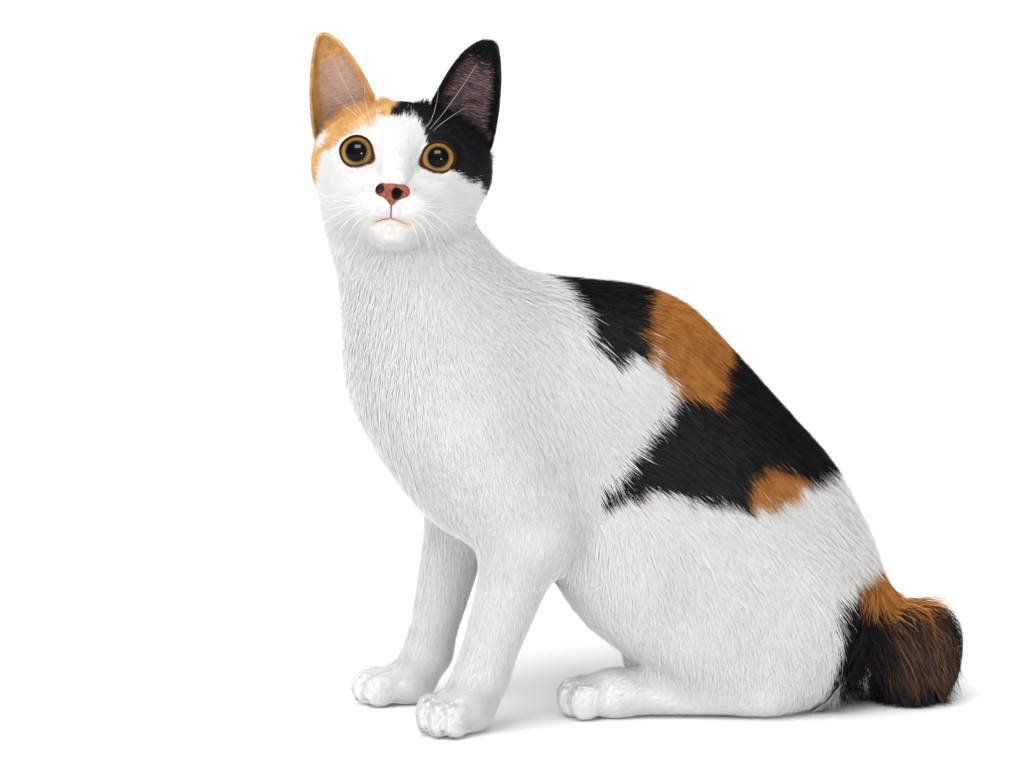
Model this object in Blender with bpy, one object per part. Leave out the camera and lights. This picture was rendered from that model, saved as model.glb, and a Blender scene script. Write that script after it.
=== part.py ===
"""A Japanese bobtail cat sitting up and looking over its left shoulder, life size, as a still model.

Metres, +Z up. The cat's left side is +X and its hind feet point to -Y. The origin is on the floor,
in the middle of the model's footprint. The body is a set of soft rounded forms that run into one
another. One mesh is laid on their surface, out to the tips of the coat, and thin cuts part it where
a person would name the parts.
"""
import bmesh
import bpy
import numpy as np
from math import cos, radians, sin
from mathutils import Matrix, Vector

for old in list(bpy.data.objects):
    bpy.data.objects.remove(old)

# Driving sizes
GAP = 0.0003                     # clearance between neighbouring pieces
MESH_STEP = 0.0030               # side of the squares of the first mesh
FIRST_ROUNDS, LAST_ROUNDS = 12, 5  # how often the mesh is laid on the forms, before and after it is evened
FINE_SHARE = 0.083               # triangles kept on the head and paws
PLAIN_SHARE = 0.039              # triangles kept on the trunk, neck and legs
FOOTPRINT = (0.0130, -0.0073)    # where the footprint's middle lies in the forms' own frame

EYE_LINE = 0.3010                # height of the eyes above the floor
EYE_GAP = 0.0408                 # between the middles of the eyeballs
EYEBALL = 0.0105                 # radius
EYE_OPENING = 0.0088             # radius of the opening between the lids
EYE_OUTWARD = 0.07               # how far each eye looks outward, and upward, for each unit ahead
EYE_UPWARD = 0.02
LID_CUT = 0.030                  # depth of the cut that opens the lids
HEAD_YAW = -1.5                  # degrees, from +X toward -Y
HEAD_PITCH = 11.0                # nose above the level
HEAD_ROLL = 4.0                  # crown leaning toward the tail
EAR_WALL = 0.0016
EAR_CUP = 0.022                  # depth of the ear's cup at its foot, and at its tip
EAR_TIP_CUP = 0.0015
EAR_COLUMNS, EAR_ROWS = 8, 7

CHEST_TURN = 25.0                # the chest turns this far from the hips' heading
PAW_WIDTH = 0.033
PAW_LENGTH = 0.043
FORE_PAW_HEIGHT = 0.023
HIND_FOOT_X = 0.050              # sideways from the spine
RIGHT_FOOT_BACK = 0.038          # the right hind foot stands this much further back
THIGH_SHARE = 0.35               # part of that by which the right thigh is moved

LEFT, RIGHT = 1, -1
INNER_EDGES = {                  # control points of each ear's edge toward the crown
    LEFT: ((0.012, -0.014, 0.024), (0.019, -0.008, 0.041), (0.028, -0.007, 0.062), (0.0405, -0.011, 0.0645)),
    RIGHT: ((0.0125, -0.014, 0.024), (0.020, -0.008, 0.041), (0.031, -0.007, 0.056), (0.042, -0.011, 0.062)),
}
WHITE = (0.86, 0.84, 0.80)
BLACK = (0.018, 0.016, 0.015)
ORANGE = (0.62, 0.26, 0.06)
AMBER = (0.55, 0.30, 0.04)
EYE_SHINE = 0.1                  # roughness


# Directions and frames
def unit(vector):
    vector = np.asarray(vector, float)
    return vector / np.linalg.norm(vector)


def axes_along(forward, up=(0, 0, 1)):
    """Rows left, forward, up of a right-angled frame."""
    ahead = unit(forward)
    left = unit(np.cross(up, ahead))
    return np.array([left, ahead, np.cross(ahead, left)])


def heading(degrees):
    """A level direction, turned from -Y toward +X."""
    return np.array([sin(radians(degrees)), -cos(radians(degrees)), 0.0])


def head_axes():
    """Rows left, forward, up of the head."""
    pitch = radians(HEAD_PITCH)
    yaw = radians(HEAD_YAW)
    roll = radians(HEAD_ROLL)
    ahead = (cos(pitch) * cos(yaw), cos(pitch) * sin(yaw), sin(pitch))
    left, ahead, up = axes_along(ahead)
    return np.array([cos(roll) * left - sin(roll) * up, ahead, cos(roll) * up + sin(roll) * left])


BODY_PLACE = (np.zeros(3), np.eye(3))
HEAD_PLACE = (np.array([0.0745, -0.1354, EYE_LINE]), head_axes())


# Forms: an egg is a ball with three radii, a limb is a cone with round ends
def egg(centre, radii, forward=(0, -1, 0), soft=0.02, place=BODY_PLACE):
    origin, turn = place
    axes = axes_along(forward) if place is BODY_PLACE else turn
    centre = origin + np.asarray(centre) @ turn
    return {"centre": centre, "radii": np.array(radii), "axes": axes, "soft": soft}


def limb(start, end, start_radius, end_radius, soft=0.015, place=BODY_PLACE):
    origin, turn = place
    ends = (origin + np.asarray(start) @ turn, origin + np.asarray(end) @ turn)
    return {"ends": ends, "radii": (start_radius, end_radius), "soft": soft}


def egg_distance(form, points):
    local = (points - form["centre"]) @ form["axes"].T
    scaled = np.linalg.norm(local / form["radii"], axis=1)
    slope = np.linalg.norm(local / form["radii"] ** 2, axis=1)
    return scaled * (scaled - 1) / np.maximum(slope, 1e-9)


def limb_distance(form, points):
    """Distance to a cone with round ends."""
    start, end = form["ends"]
    start_radius, end_radius = form["radii"]
    line = end - start
    length = np.linalg.norm(line)
    along = (points - start) @ (line / length)
    aside = np.linalg.norm(points - start - along[:, None] * line / length, axis=1)
    taper = (start_radius - end_radius) / length
    level = np.clip((along + aside * taper / np.sqrt(1 - taper ** 2)) / length, 0, 1)
    reach = np.hypot(along - level * length, aside)
    return reach - (start_radius + (end_radius - start_radius) * level)


def blend(first, second, soft):
    """The union of two forms with a soft crease between them."""
    overlap = np.maximum(soft - np.abs(first - second), 0) / soft
    return np.minimum(first, second) - overlap ** 2 * soft / 4


def distance(forms, points):
    """Signed distance to all the forms, blended in their order."""
    total = None
    for form in forms:
        one = egg_distance(form, points) if "centre" in form else limb_distance(form, points)
        total = one if total is None else blend(total, one, form["soft"])
    return total


# The cat's forms
def trunk_forms():
    chest = heading(CHEST_TURN)
    return [
        egg((0.033, -0.062, 0.160), (0.051, 0.086, 0.059), (0.26, -0.72, 0.66)),
        egg((0.050, -0.118, 0.187), (0.044, 0.044, 0.060), chest, 0.03),
        egg((0.054, -0.102, 0.137), (0.035, 0.028, 0.036), chest, 0.03),
        egg((0.031, -0.046, 0.186), (0.040, 0.057, 0.042), (0.3, -0.8, 0.5), 0.03),
        limb((0.018, -0.0105, 0.1735), (0.005, 0.0535, 0.1040), 0.0535, 0.0520, 0.03),
        egg((0.022, -0.002, 0.100), (0.048, 0.060, 0.048), (0.15, -0.8, 0.5), 0.04),
        egg((0.004, 0.0725, 0.062), (0.050, 0.055, 0.055), soft=0.025),
        limb((0.050, -0.1155, 0.202), (0.049, -0.1355, 0.260), 0.0485, 0.0405, 0.026),
    ]


def paw_forms(place, turn, height):
    """Pad and four toes of a paw on the floor at place."""
    ahead = heading(turn)
    left = np.array([-ahead[1], ahead[0], 0])
    at = np.array([place[0], place[1], 0])
    pad = at - ahead * 0.10 * PAW_LENGTH + (0, 0, 0.50 * height)
    forms = [egg(pad, (0.46 * PAW_WIDTH, 0.42 * PAW_LENGTH, 0.54 * height), ahead, 0.008)]
    for aside, along in ((-0.34, 0.20), (-0.125, 0.33), (0.125, 0.33), (0.34, 0.20)):
        toe = at + left * aside * PAW_WIDTH + ahead * along * PAW_LENGTH + (0, 0, 0.44 * height)
        radii = (0.155 * PAW_WIDTH, 0.22 * PAW_LENGTH, 0.45 * height)
        forms.append(egg(toe, radii, ahead + 0.25 * aside * left, 0.004))
    return forms


def left_foreleg_forms():
    return [
        limb((0.075, -0.100, 0.160), (0.078, -0.068, 0.108), 0.030, 0.025, 0.03),
        limb((0.079, -0.070, 0.100), (0.083, -0.0930, 0.030), 0.0215, 0.0145, 0.012),
        limb((0.083, -0.093, 0.030), (0.084, -0.100, 0.014), 0.0145, 0.0130, 0.008),
    ] + paw_forms((0.086, -0.106), 40, FORE_PAW_HEIGHT + 0.001)


def right_foreleg_forms():
    return [
        limb((0.011, -0.122, 0.158), (0.006, -0.094, 0.112), 0.028, 0.024, 0.03),
        limb((0.011, -0.104, 0.104), (0.021, -0.1225, 0.028), 0.0200, 0.0130, 0.012),
        limb((0.021, -0.1225, 0.028), (0.020, -0.132, 0.012), 0.0130, 0.0118, 0.008),
    ] + paw_forms((0.020, -0.141), 8, FORE_PAW_HEIGHT - 0.002)


def hindleg_forms(side, back):
    """Thigh, knee, shin, ham and long hind foot of one side, the foot this much further back."""
    x = side * HIND_FOOT_X
    hip = THIGH_SHARE * back
    inner = x - side * 0.005
    deep = x - side * 0.016
    return [
        egg((inner, 0.026 + hip, 0.070), (0.031, 0.076, 0.054), (0, -0.93, 0.36)),
        egg((x + side * 0.007, -0.022 + hip, 0.087), (0.024, 0.032, 0.029)),
        limb((x + side * 0.003, -0.013 + hip, 0.068), (x, 0.055 + back, 0.022), 0.024, 0.016, 0.02),
        egg((deep, 0.074 + hip, 0.044), (0.034, 0.036, 0.047)),
        limb((x, 0.058 + back, 0.016), (x, -0.020 + back, 0.0125), 0.0155, 0.0122, 0.010),
    ] + paw_forms((x, -0.030 + back), 4 * side, FORE_PAW_HEIGHT + 0.001)


def tail_forms():
    return [
        limb((0.008, 0.106, 0.060), (0.011, 0.126, 0.042), 0.016, 0.021, 0.012),
        egg((0.013, 0.1425, 0.036), (0.027, 0.0255, 0.028), soft=0.010),
        egg((0.014, 0.1375, 0.018), (0.028, 0.0275, 0.027), soft=0.012),
    ]


def head_forms():
    """The head in its own frame: left, forward and up from the midpoint between the eyeballs."""
    at = HEAD_PLACE
    forms = [
        egg((0, -0.030, 0.0045), (0.0375, 0.036, 0.0278), soft=0.016, place=at),
        egg((0, -0.009, 0.011), (0.025, 0.017, 0.016), soft=0.012, place=at),
        egg((0, -0.028, -0.030), (0.029, 0.028, 0.020), soft=0.015, place=at),
        limb((0, -0.001, 0.003), (0, 0.0208, -0.0145), 0.0100, 0.0072, 0.010, at),
        egg((0, 0.0075, -0.0390), (0.0125, 0.0110, 0.0088), soft=0.012, place=at),
    ]
    for side in (LEFT, RIGHT):
        forms += [
            egg((side * 0.0268 + 0.0010, -0.019, -0.004), (0.0215, 0.024, 0.024), soft=0.012, place=at),
            egg((side * 0.0185, -0.010, -0.0275), (0.0195, 0.0215, 0.014), soft=0.012, place=at),
            egg((side * 0.0165, 0.001, -0.016), (0.012, 0.0125, 0.011), soft=0.010, place=at),
            egg((side * 0.0088, 0.0140, -0.0275), (0.0118, 0.0110, 0.0092), soft=0.008, place=at),
            egg((side * EYE_GAP / 2, 0, 0), (0.0118,) * 3, soft=0.006, place=at),
        ]
    return forms


def cat_forms():
    forms = trunk_forms() + left_foreleg_forms() + right_foreleg_forms()
    forms += hindleg_forms(LEFT, 0) + hindleg_forms(RIGHT, RIGHT_FOOT_BACK)
    return forms + tail_forms() + head_forms()


# Meshes
def to_row(point):
    """From the forms' frame to the model's, whose origin is in the middle of the footprint."""
    return Vector((point[0] - FOOTPRINT[0], point[1] - FOOTPRINT[1], point[2]))


def add_object(name, mesh_builder):
    """An object named name whose mesh is the builder's bmesh."""
    mesh = bpy.data.meshes.new(name)
    mesh_builder.to_mesh(mesh)
    mesh_builder.free()
    piece = bpy.data.objects.new(name, mesh)
    bpy.context.scene.collection.objects.link(piece)
    return piece


def hull_of(balls):
    """The convex hull of balls, each a centre and a radius, as a bmesh."""
    builder = bmesh.new()
    for centre, radius in balls:
        place = Matrix.Translation(Vector(centre))
        bmesh.ops.create_icosphere(builder, subdivisions=2, radius=radius, matrix=place)
    bmesh.ops.delete(builder, geom=builder.edges[:] + builder.faces[:], context="EDGES_FACES")
    hull = bmesh.ops.convex_hull(builder, input=builder.verts)
    inside = [item for item in hull["geom_interior"] if isinstance(item, bmesh.types.BMVert)]
    bmesh.ops.delete(builder, geom=inside, context="VERTS")
    bmesh.ops.recalc_face_normals(builder, faces=builder.faces)
    return builder


def rough_form(form):
    """One form as a closed mesh."""
    if "centre" in form:
        builder = bmesh.new()
        bmesh.ops.create_icosphere(builder, subdivisions=3, radius=1)
        turn = Matrix((form["axes"] * form["radii"][:, None]).T).to_4x4()
        place = Matrix.Translation(form["centre"]) @ turn
        bmesh.ops.transform(builder, matrix=place, verts=builder.verts)
        bmesh.ops.recalc_face_normals(builder, faces=builder.faces)
        return builder
    return hull_of(list(zip(form["ends"], form["radii"])))


def evaluated_mesh(piece):
    graph = bpy.context.evaluated_depsgraph_get()
    return bpy.data.meshes.new_from_object(piece.evaluated_get(graph))


def laid_on(mesh, forms, rounds):
    """Moves the mesh's points onto the blended surface of the forms."""
    points = np.empty(len(mesh.vertices) * 3)
    mesh.vertices.foreach_get("co", points)
    points = points.reshape(-1, 3)
    probe = 0.0002
    for _ in range(rounds):
        level = distance(forms, points)
        slope = np.stack([distance(forms, points + probe * axis) - level for axis in np.eye(3)], 1) / probe
        steep = np.maximum((slope ** 2).sum(1), 0.25)
        points -= np.clip(level / steep, -MESH_STEP, MESH_STEP)[:, None] * slope
    mesh.vertices.foreach_set("co", points.ravel())
    mesh.update()


def remeshed(mesh, step):
    """The mesh as even squares, a little smoothed."""
    piece = bpy.data.objects.new("remeshed", mesh)
    bpy.context.scene.collection.objects.link(piece)
    remesh = piece.modifiers.new("one_surface", "REMESH")
    remesh.mode = "VOXEL"
    remesh.voxel_size = step
    relax = piece.modifiers.new("even", "SMOOTH")
    relax.iterations = 4
    result = evaluated_mesh(piece)
    bpy.data.objects.remove(piece)
    return result


def whole_cat(forms):
    """All the forms as one even mesh on their blended surface."""
    together = bmesh.new()
    for form in forms:
        one = rough_form(form)
        part = bpy.data.meshes.new("form")
        one.to_mesh(part)
        one.free()
        together.from_mesh(part)
        bpy.data.meshes.remove(part)
    rough = bpy.data.meshes.new("rough")
    together.to_mesh(rough)
    together.free()
    for rounds in (FIRST_ROUNDS, LAST_ROUNDS):
        rough = remeshed(rough, MESH_STEP)
        laid_on(rough, forms, rounds)
    return rough


def lighter(mesh, share):
    """A copy with this share of the triangles, moved to the model's frame and cut flat at the floor."""
    piece = bpy.data.objects.new("lighter", mesh)
    bpy.context.scene.collection.objects.link(piece)
    decimate = piece.modifiers.new("fewer_triangles", "DECIMATE")
    decimate.ratio = share
    decimate.use_collapse_triangulate = True
    light = evaluated_mesh(piece)
    bpy.data.objects.remove(piece)
    builder = bmesh.new()
    builder.from_mesh(light)
    bmesh.ops.translate(builder, verts=builder.verts, vec=to_row((0, 0, 0)))
    whole = builder.verts[:] + builder.edges[:] + builder.faces[:]
    floor = {"plane_co": (0, 0, 0), "plane_no": (0, 0, 1)}
    bisected = bmesh.ops.bisect_plane(builder, geom=whole, clear_inner=True, **floor)
    rim = [item for item in bisected["geom_cut"] if isinstance(item, bmesh.types.BMEdge)]
    bmesh.ops.holes_fill(builder, edges=rim)
    bmesh.ops.triangulate(builder, faces=[face for face in builder.faces if len(face.verts) > 3])
    builder.to_mesh(light)
    builder.free()
    return light


# Cutters
def hidden(piece):
    piece.hide_render = True
    piece.display_type = "WIRE"
    return piece


def half_space(name, point, direction, grow=0.0):
    """A large block on the side of the plane that direction points to."""
    size = 0.6
    builder = bmesh.new()
    bmesh.ops.create_cube(builder, size=size)
    turn = Vector(direction).to_track_quat("Z", "Y").to_matrix().to_4x4()
    middle = to_row(point) + Vector(direction).normalized() * (size / 2 - grow)
    bmesh.ops.transform(builder, matrix=Matrix.Translation(middle) @ turn, verts=builder.verts)
    return hidden(add_object(name, builder))


def hull_region(name, balls, grow=0.0):
    builder = hull_of([(to_row(centre), radius + grow) for centre, radius in balls])
    return hidden(add_object(name, builder))


def egg_region(name, centre, radii, forward=(0, -1, 0), grow=0.0):
    builder = bmesh.new()
    bmesh.ops.create_icosphere(builder, subdivisions=2, radius=1)
    turn = Matrix((axes_along(forward) * (np.array(radii) + grow)[:, None]).T).to_4x4()
    bmesh.ops.transform(builder, matrix=Matrix.Translation(to_row(centre)) @ turn, verts=builder.verts)
    bmesh.ops.recalc_face_normals(builder, faces=builder.faces)
    return hidden(add_object(name, builder))


def finish(name, mesh, colour, roughness=0.7):
    """A node: its object, smooth shading and its own material."""
    piece = bpy.data.objects.new(name, mesh)
    bpy.context.scene.collection.objects.link(piece)
    mesh.shade_smooth()
    material = bpy.data.materials.new(name)
    material.use_nodes = True
    surface = material.node_tree.nodes["Principled BSDF"]
    surface.inputs["Base Color"].default_value = (*colour, 1)
    surface.inputs["Roughness"].default_value = roughness
    mesh.materials.append(material)
    return piece


def cut(piece, operation, cutter):
    modifier = piece.modifiers.new(operation.lower(), "BOOLEAN")
    modifier.operation = operation
    modifier.solver = "EXACT"
    modifier.object = cutter


REGIONS = {
    "head": (half_space, (0.052, -0.131, 0.2515), (0.42, -0.10, 0.90)),
    "neck": (half_space, (0.050, -0.118, 0.2130), (0.05, -0.50, 0.87)),
    "tail": (egg_region, (0.0125, 0.1440, 0.0260), (0.0380, 0.0330, 0.0500)),
    "foreleg_left": (hull_region, (((0.082, -0.072, 0.120), 0.033), ((0.086, -0.106, 0.0), 0.034))),
    "foreleg_right": (hull_region, (((0.007, -0.101, 0.120), 0.031), ((0.020, -0.141, 0.0), 0.034))),
    "forepaw_left": (half_space, (0.083, -0.093, 0.031), (0.05, -0.20, -0.97)),
    "forepaw_right": (half_space, (0.021, -0.122, 0.028), (-0.02, -0.20, -0.97)),
}


def region(name, grow=0.0):
    make, *sizes = REGIONS[name]
    return make(f"{name}_region_{'wide' if grow else 'exact'}", *sizes, grow=grow)


def hind_regions(side, back):
    """Sizes of the thigh's and the hind foot's regions on one side."""
    word = "left" if side == LEFT else "right"
    x = side * HIND_FOOT_X
    hip = THIGH_SHARE * back
    knee = ((x + side * 0.013, -0.030 + hip, 0.078), 0.040)
    haunch = ((x + side * 0.022, 0.040 + hip, 0.078), 0.056)
    ham = ((x + side * 0.014, 0.082 + hip, 0.040), 0.042)
    shin = ((x + side * 0.006, 0.010 + back, 0.022), 0.034)
    heel = ((x, 0.064 + back, 0.004), 0.0190)
    toes = ((x, -0.030 + back, 0.004), 0.0290)
    return {
        f"thigh_{word}": (hull_region, (knee, haunch, ham, shin)),
        f"hindfoot_{word}": (hull_region, (heel, toes)),
    }


def piece_of(name, mesh, colour, keep, take_away):
    """The part of the mesh inside the regions in keep and outside those in take_away."""
    piece = finish(name, mesh.copy(), colour)
    for other in keep:
        cut(piece, "INTERSECT", region(other))
    for other in take_away:
        cut(piece, "DIFFERENCE", region(other, GAP))
    return piece


# Head details
def head_point(left, forward, up):
    """A point of the head's own frame in the forms' frame."""
    origin, turn = HEAD_PLACE
    return origin + np.array([left, forward, up]) @ turn


def make_eye(side, head):
    """An eyeball in its socket. The opening between the lids is a round cone cut into the head."""
    word = "left" if side == LEFT else "right"
    middle = to_row(head_point(side * EYE_GAP / 2, 0, 0))
    builder = bmesh.new()
    place = Matrix.Translation(middle)
    bmesh.ops.create_uvsphere(builder, u_segments=16, v_segments=10, radius=EYEBALL, matrix=place)
    mesh = bpy.data.meshes.new(f"eye_{word}")
    builder.to_mesh(mesh)
    builder.free()
    finish(f"eye_{word}", mesh, AMBER, EYE_SHINE)
    socket = bmesh.new()
    bmesh.ops.create_icosphere(socket, subdivisions=3, radius=EYEBALL + GAP, matrix=place)
    cut(head, "DIFFERENCE", hidden(add_object(f"socket_{word}", socket)))
    look = Vector(unit(np.array([side * EYE_OUTWARD, 1, EYE_UPWARD]) @ HEAD_PLACE[1]))
    opening = bmesh.new()
    turn = look.to_track_quat("Z", "Y").to_matrix().to_4x4()
    at = Matrix.Translation(middle + look * LID_CUT / 2) @ turn
    round_cut = {"radius1": EYE_OPENING, "radius2": EYE_OPENING, "depth": LID_CUT}
    bmesh.ops.create_cone(opening, cap_ends=True, segments=32, matrix=at, **round_cut)
    cut(head, "DIFFERENCE", hidden(add_object(f"lids_{word}", opening)))


def bezier(points, share):
    """A point on the curve of four control points."""
    a, b, c, d = (np.array(point) for point in points)
    rest = 1 - share
    return a * rest ** 3 + 3 * b * rest ** 2 * share + 3 * c * rest * share ** 2 + d * share ** 3


def ear_point(side, around, height):
    """A point of the ear's wall: around runs from -1, the inner edge, to 1, the outer edge."""
    inner = INNER_EDGES[side]
    tip = (inner[3][0] + 0.0045, -0.011, inner[3][2] - 0.0008)
    outer = ((0.0450, -0.023, 0.008), (0.0500, -0.014, 0.022), (0.0500, -0.010, 0.054), tip)
    near = bezier(inner, height)
    far = bezier(outer, height)
    depth = EAR_CUP * (1 - height) ** 0.8 + EAR_TIP_CUP
    point = (near + far) / 2 + (far - near) / 2 * sin(around * radians(90))
    point = point + np.array([0, -depth, 0]) * cos(around * radians(90))
    return head_point(side * point[0], point[1], point[2])


def make_ear(side, head):
    """A thin cupped wall, cut where it meets the head."""
    word = "left" if side == LEFT else "right"
    builder = bmesh.new()
    bmesh.ops.create_grid(builder, x_segments=EAR_COLUMNS, y_segments=EAR_ROWS, size=1)
    for vertex in builder.verts:
        vertex.co = to_row(ear_point(side, vertex.co.x, (vertex.co.y + 1) / 2))
    if side == RIGHT:
        bmesh.ops.reverse_faces(builder, faces=builder.faces)
    mesh = bpy.data.meshes.new(f"ear_{word}")
    builder.to_mesh(mesh)
    builder.free()
    ear = finish(f"ear_{word}", mesh, ORANGE if side == RIGHT else BLACK)
    wall = ear.modifiers.new("wall", "SOLIDIFY")
    wall.thickness = EAR_WALL
    wall.offset = 0
    cut(ear, "DIFFERENCE", head)


# The cat's pieces
REGIONS.update(hind_regions(LEFT, 0))
REGIONS.update(hind_regions(RIGHT, RIGHT_FOOT_BACK))
full = whole_cat(cat_forms())
fine = lighter(full, FINE_SHARE)
plain = lighter(full, PLAIN_SHARE)

head_piece = piece_of("head", fine, WHITE, ["head"], [])
head_wide = finish("head_wide", evaluated_mesh(head_piece), WHITE)
make_eye(LEFT, head_piece)
make_eye(RIGHT, head_piece)
swell = head_wide.modifiers.new("clearance", "DISPLACE")
swell.strength = GAP
swell.mid_level = 0
hidden(head_wide)
make_ear(LEFT, head_wide)
make_ear(RIGHT, head_wide)
piece_of("neck", plain, WHITE, ["neck"], ["head"])
piece_of("tail", plain, BLACK, ["tail"], [])
for word in ("left", "right"):
    foreleg = f"foreleg_{word}"
    forepaw = f"forepaw_{word}"
    thigh = f"thigh_{word}"
    hindfoot = f"hindfoot_{word}"
    piece_of(foreleg, plain, WHITE, [foreleg], [forepaw])
    piece_of(forepaw, fine, WHITE, [foreleg, forepaw], [])
    piece_of(thigh, plain, WHITE, [thigh], [hindfoot, foreleg, "tail"])
    piece_of(hindfoot, fine, WHITE, [hindfoot], [])
limbs = [name for name in REGIONS if name not in ("head", "forepaw_left", "forepaw_right")]
piece_of("trunk", plain, WHITE, [], limbs)
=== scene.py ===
"""Looks of a Japanese bobtail cat that sits and looks over its left shoulder, built over the fixed solids.

Metres, +Z up. The cat's left side is +X and its hind feet point to -Y.
"""

from math import cos, pi, radians, sin

import bmesh
import bpy
import numpy as np
from mathutils import Matrix, Vector
from mathutils.kdtree import KDTree


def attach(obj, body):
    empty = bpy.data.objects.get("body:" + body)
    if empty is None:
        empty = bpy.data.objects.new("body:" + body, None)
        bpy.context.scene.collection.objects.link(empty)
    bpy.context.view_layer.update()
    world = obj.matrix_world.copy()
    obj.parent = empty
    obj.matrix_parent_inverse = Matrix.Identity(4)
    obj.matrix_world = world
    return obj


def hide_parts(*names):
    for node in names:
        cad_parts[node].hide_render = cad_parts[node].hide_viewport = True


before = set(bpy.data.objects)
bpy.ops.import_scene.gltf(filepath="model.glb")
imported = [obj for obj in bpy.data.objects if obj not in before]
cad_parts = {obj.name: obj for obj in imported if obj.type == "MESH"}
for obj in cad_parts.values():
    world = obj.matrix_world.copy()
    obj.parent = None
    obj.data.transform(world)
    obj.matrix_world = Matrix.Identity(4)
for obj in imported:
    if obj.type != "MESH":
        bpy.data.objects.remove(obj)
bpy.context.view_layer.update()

# Camera
# A long lens across a small studio, a little above the cat's head and looking slightly down, so that the
# cat is seen from its left side with its face turned to the lens.
PHOTO_WIDTH = 1024
FOCAL_PIXELS = 3462
SENSOR_WIDTH = 36.0
CAMERA_PLACE = (1.837, -0.06965, 0.452)
CAMERA_DIP = radians(8.62)

lens = bpy.data.cameras.new("camera")
lens.sensor_width = SENSOR_WIDTH
lens.lens = FOCAL_PIXELS * SENSOR_WIDTH / PHOTO_WIDTH
camera = bpy.data.objects.new("camera", lens)
camera.location = CAMERA_PLACE
camera.rotation_euler = (pi / 2 - CAMERA_DIP, 0, pi / 2)
bpy.context.scene.collection.objects.link(camera)
bpy.context.scene.camera = camera


# Floor and light
# White studio paper in a white room, lit evenly from high in front. The paper is so pale that only soft
# shadows show on it. A window-like lamp and a small one add only the two glints in each eye.
FLOOR_REACH = 14.0
PAPER = (0.95, 0.95, 0.945)
ROOM_LIGHT = 0.98
ROOM_GLOSS = 0.05                # how much of the room shows in wet and shiny things
FRONT_LIGHT = 1.95
FRONT_SPREAD = 50


class Socket:
    """A shader socket. Sums on it add Math nodes, and node adds any other node to its material."""

    def __init__(self, tree, socket):
        self.tree = tree
        self.socket = socket

    def node(self, kind, settings=None, inputs=None, output=0):
        """A new node with its settings set first, then the values or links of its sockets."""
        made = self.tree.nodes.new(kind)
        for name, value in (settings or {}).items():
            setattr(made, name, value)
        for key, value in (inputs or {}).items():
            if isinstance(value, Socket):
                self.tree.links.new(value.socket, made.inputs[key])
            else:
                made.inputs[key].default_value = value
        return Socket(self.tree, made.outputs[output])

    def sum(self, operation, first, second):
        return self.node("ShaderNodeMath", {"operation": operation}, {0: first, 1: second})

    def __add__(self, other):
        return self.sum("ADD", self, other)

    __radd__ = __add__

    def __mul__(self, other):
        return self.sum("MULTIPLY", self, other)

    __rmul__ = __mul__

    def clipped(self, low, high):
        """0 up to low, 1 from high, with a soft start and end."""
        return self.node("ShaderNodeMapRange", {"interpolation_type": "SMOOTHSTEP"},
                         {"Value": self, "From Min": low, "From Max": high})

    def mixed(self, first, second):
        """The two colours mixed by this factor."""
        colours = [colour if isinstance(colour, Socket) else (*colour, 1) for colour in (first, second)]
        return self.node("ShaderNodeMix", {"data_type": "RGBA"}, {0: self, 6: colours[0], 7: colours[1]}, 2)

    def noise(self, scale, detail=2.0, roughness=0.5):
        """Noise from 0 to 1 at the place that this socket holds."""
        return self.node("ShaderNodeTexNoise", None,
                         {"Vector": self, "Scale": scale, "Detail": detail, "Roughness": roughness})

    def stretched(self, scale):
        """This place with each axis scaled."""
        return self.node("ShaderNodeVectorMath", {"operation": "MULTIPLY"}, {0: self, 1: scale})

    def bump(self, strength, distance):
        """The surface's normal with this socket as its height."""
        return self.node("ShaderNodeBump", None, {"Height": self, "Strength": strength, "Distance": distance})

    def feed(self, shader, name):
        self.tree.links.new(self.socket, shader.inputs[name])


def new_surface(name, **constants):
    """A material, the place on the object, and its shader with these sockets set."""
    material = bpy.data.materials.new(name)
    material.use_nodes = True
    shader = material.node_tree.nodes["Principled BSDF"]
    for socket, value in constants.items():
        shader.inputs[socket.replace("_", " ")].default_value = value
    place = Socket(material.node_tree, None).node("ShaderNodeTexCoord", output="Object")
    return material, place, shader


def put_in_scene(name, mesh, material=None):
    piece = bpy.data.objects.new(name, mesh)
    bpy.context.scene.collection.objects.link(piece)
    if material is not None:
        mesh.materials.append(material)
    return piece


def mesh_from(builder, name):
    mesh = bpy.data.meshes.new(name)
    builder.to_mesh(mesh)
    builder.free()
    return mesh


paper, paper_place, paper_shader = new_surface("studio_paper", Roughness=0.9, Specular_IOR_Level=0.1)
paper_place.noise(3.0).mixed(PAPER, tuple(0.995 * part for part in PAPER)).feed(paper_shader, "Base Color")
builder = bmesh.new()
bmesh.ops.create_grid(builder, x_segments=4, y_segments=4, size=FLOOR_REACH)
floor = put_in_scene("floor", mesh_from(builder, "floor"), paper)

room = bpy.data.worlds.new("white_room")
room.use_nodes = True
room_tree = room.node_tree
glossy_ray = Socket(room_tree, None).node("ShaderNodeLightPath", output="Is Glossy Ray")
lit_room, dim_room = (
    glossy_ray.node("ShaderNodeBackground", None, {"Color": (1, 1, 1, 1), "Strength": strength})
    for strength in (ROOM_LIGHT, ROOM_GLOSS))
seen_room = glossy_ray.node("ShaderNodeMixShader", None, {0: glossy_ray, 1: lit_room, 2: dim_room})
room_tree.links.new(seen_room.socket, room_tree.nodes["World Output"].inputs["Surface"])
bpy.context.scene.world = room
bpy.context.scene.view_settings.view_transform = "Standard"


def add_lamp(name, kind, place, aim, power):
    lamp_data = bpy.data.lights.new(name, kind)
    lamp_data.energy = power
    lamp = bpy.data.objects.new(name, lamp_data)
    lamp.location = place
    lamp.rotation_euler = (Vector(place) - Vector(aim)).to_track_quat("Z", "Y").to_euler()
    lamp.visible_camera = False
    bpy.context.scene.collection.objects.link(lamp)
    return lamp


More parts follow.
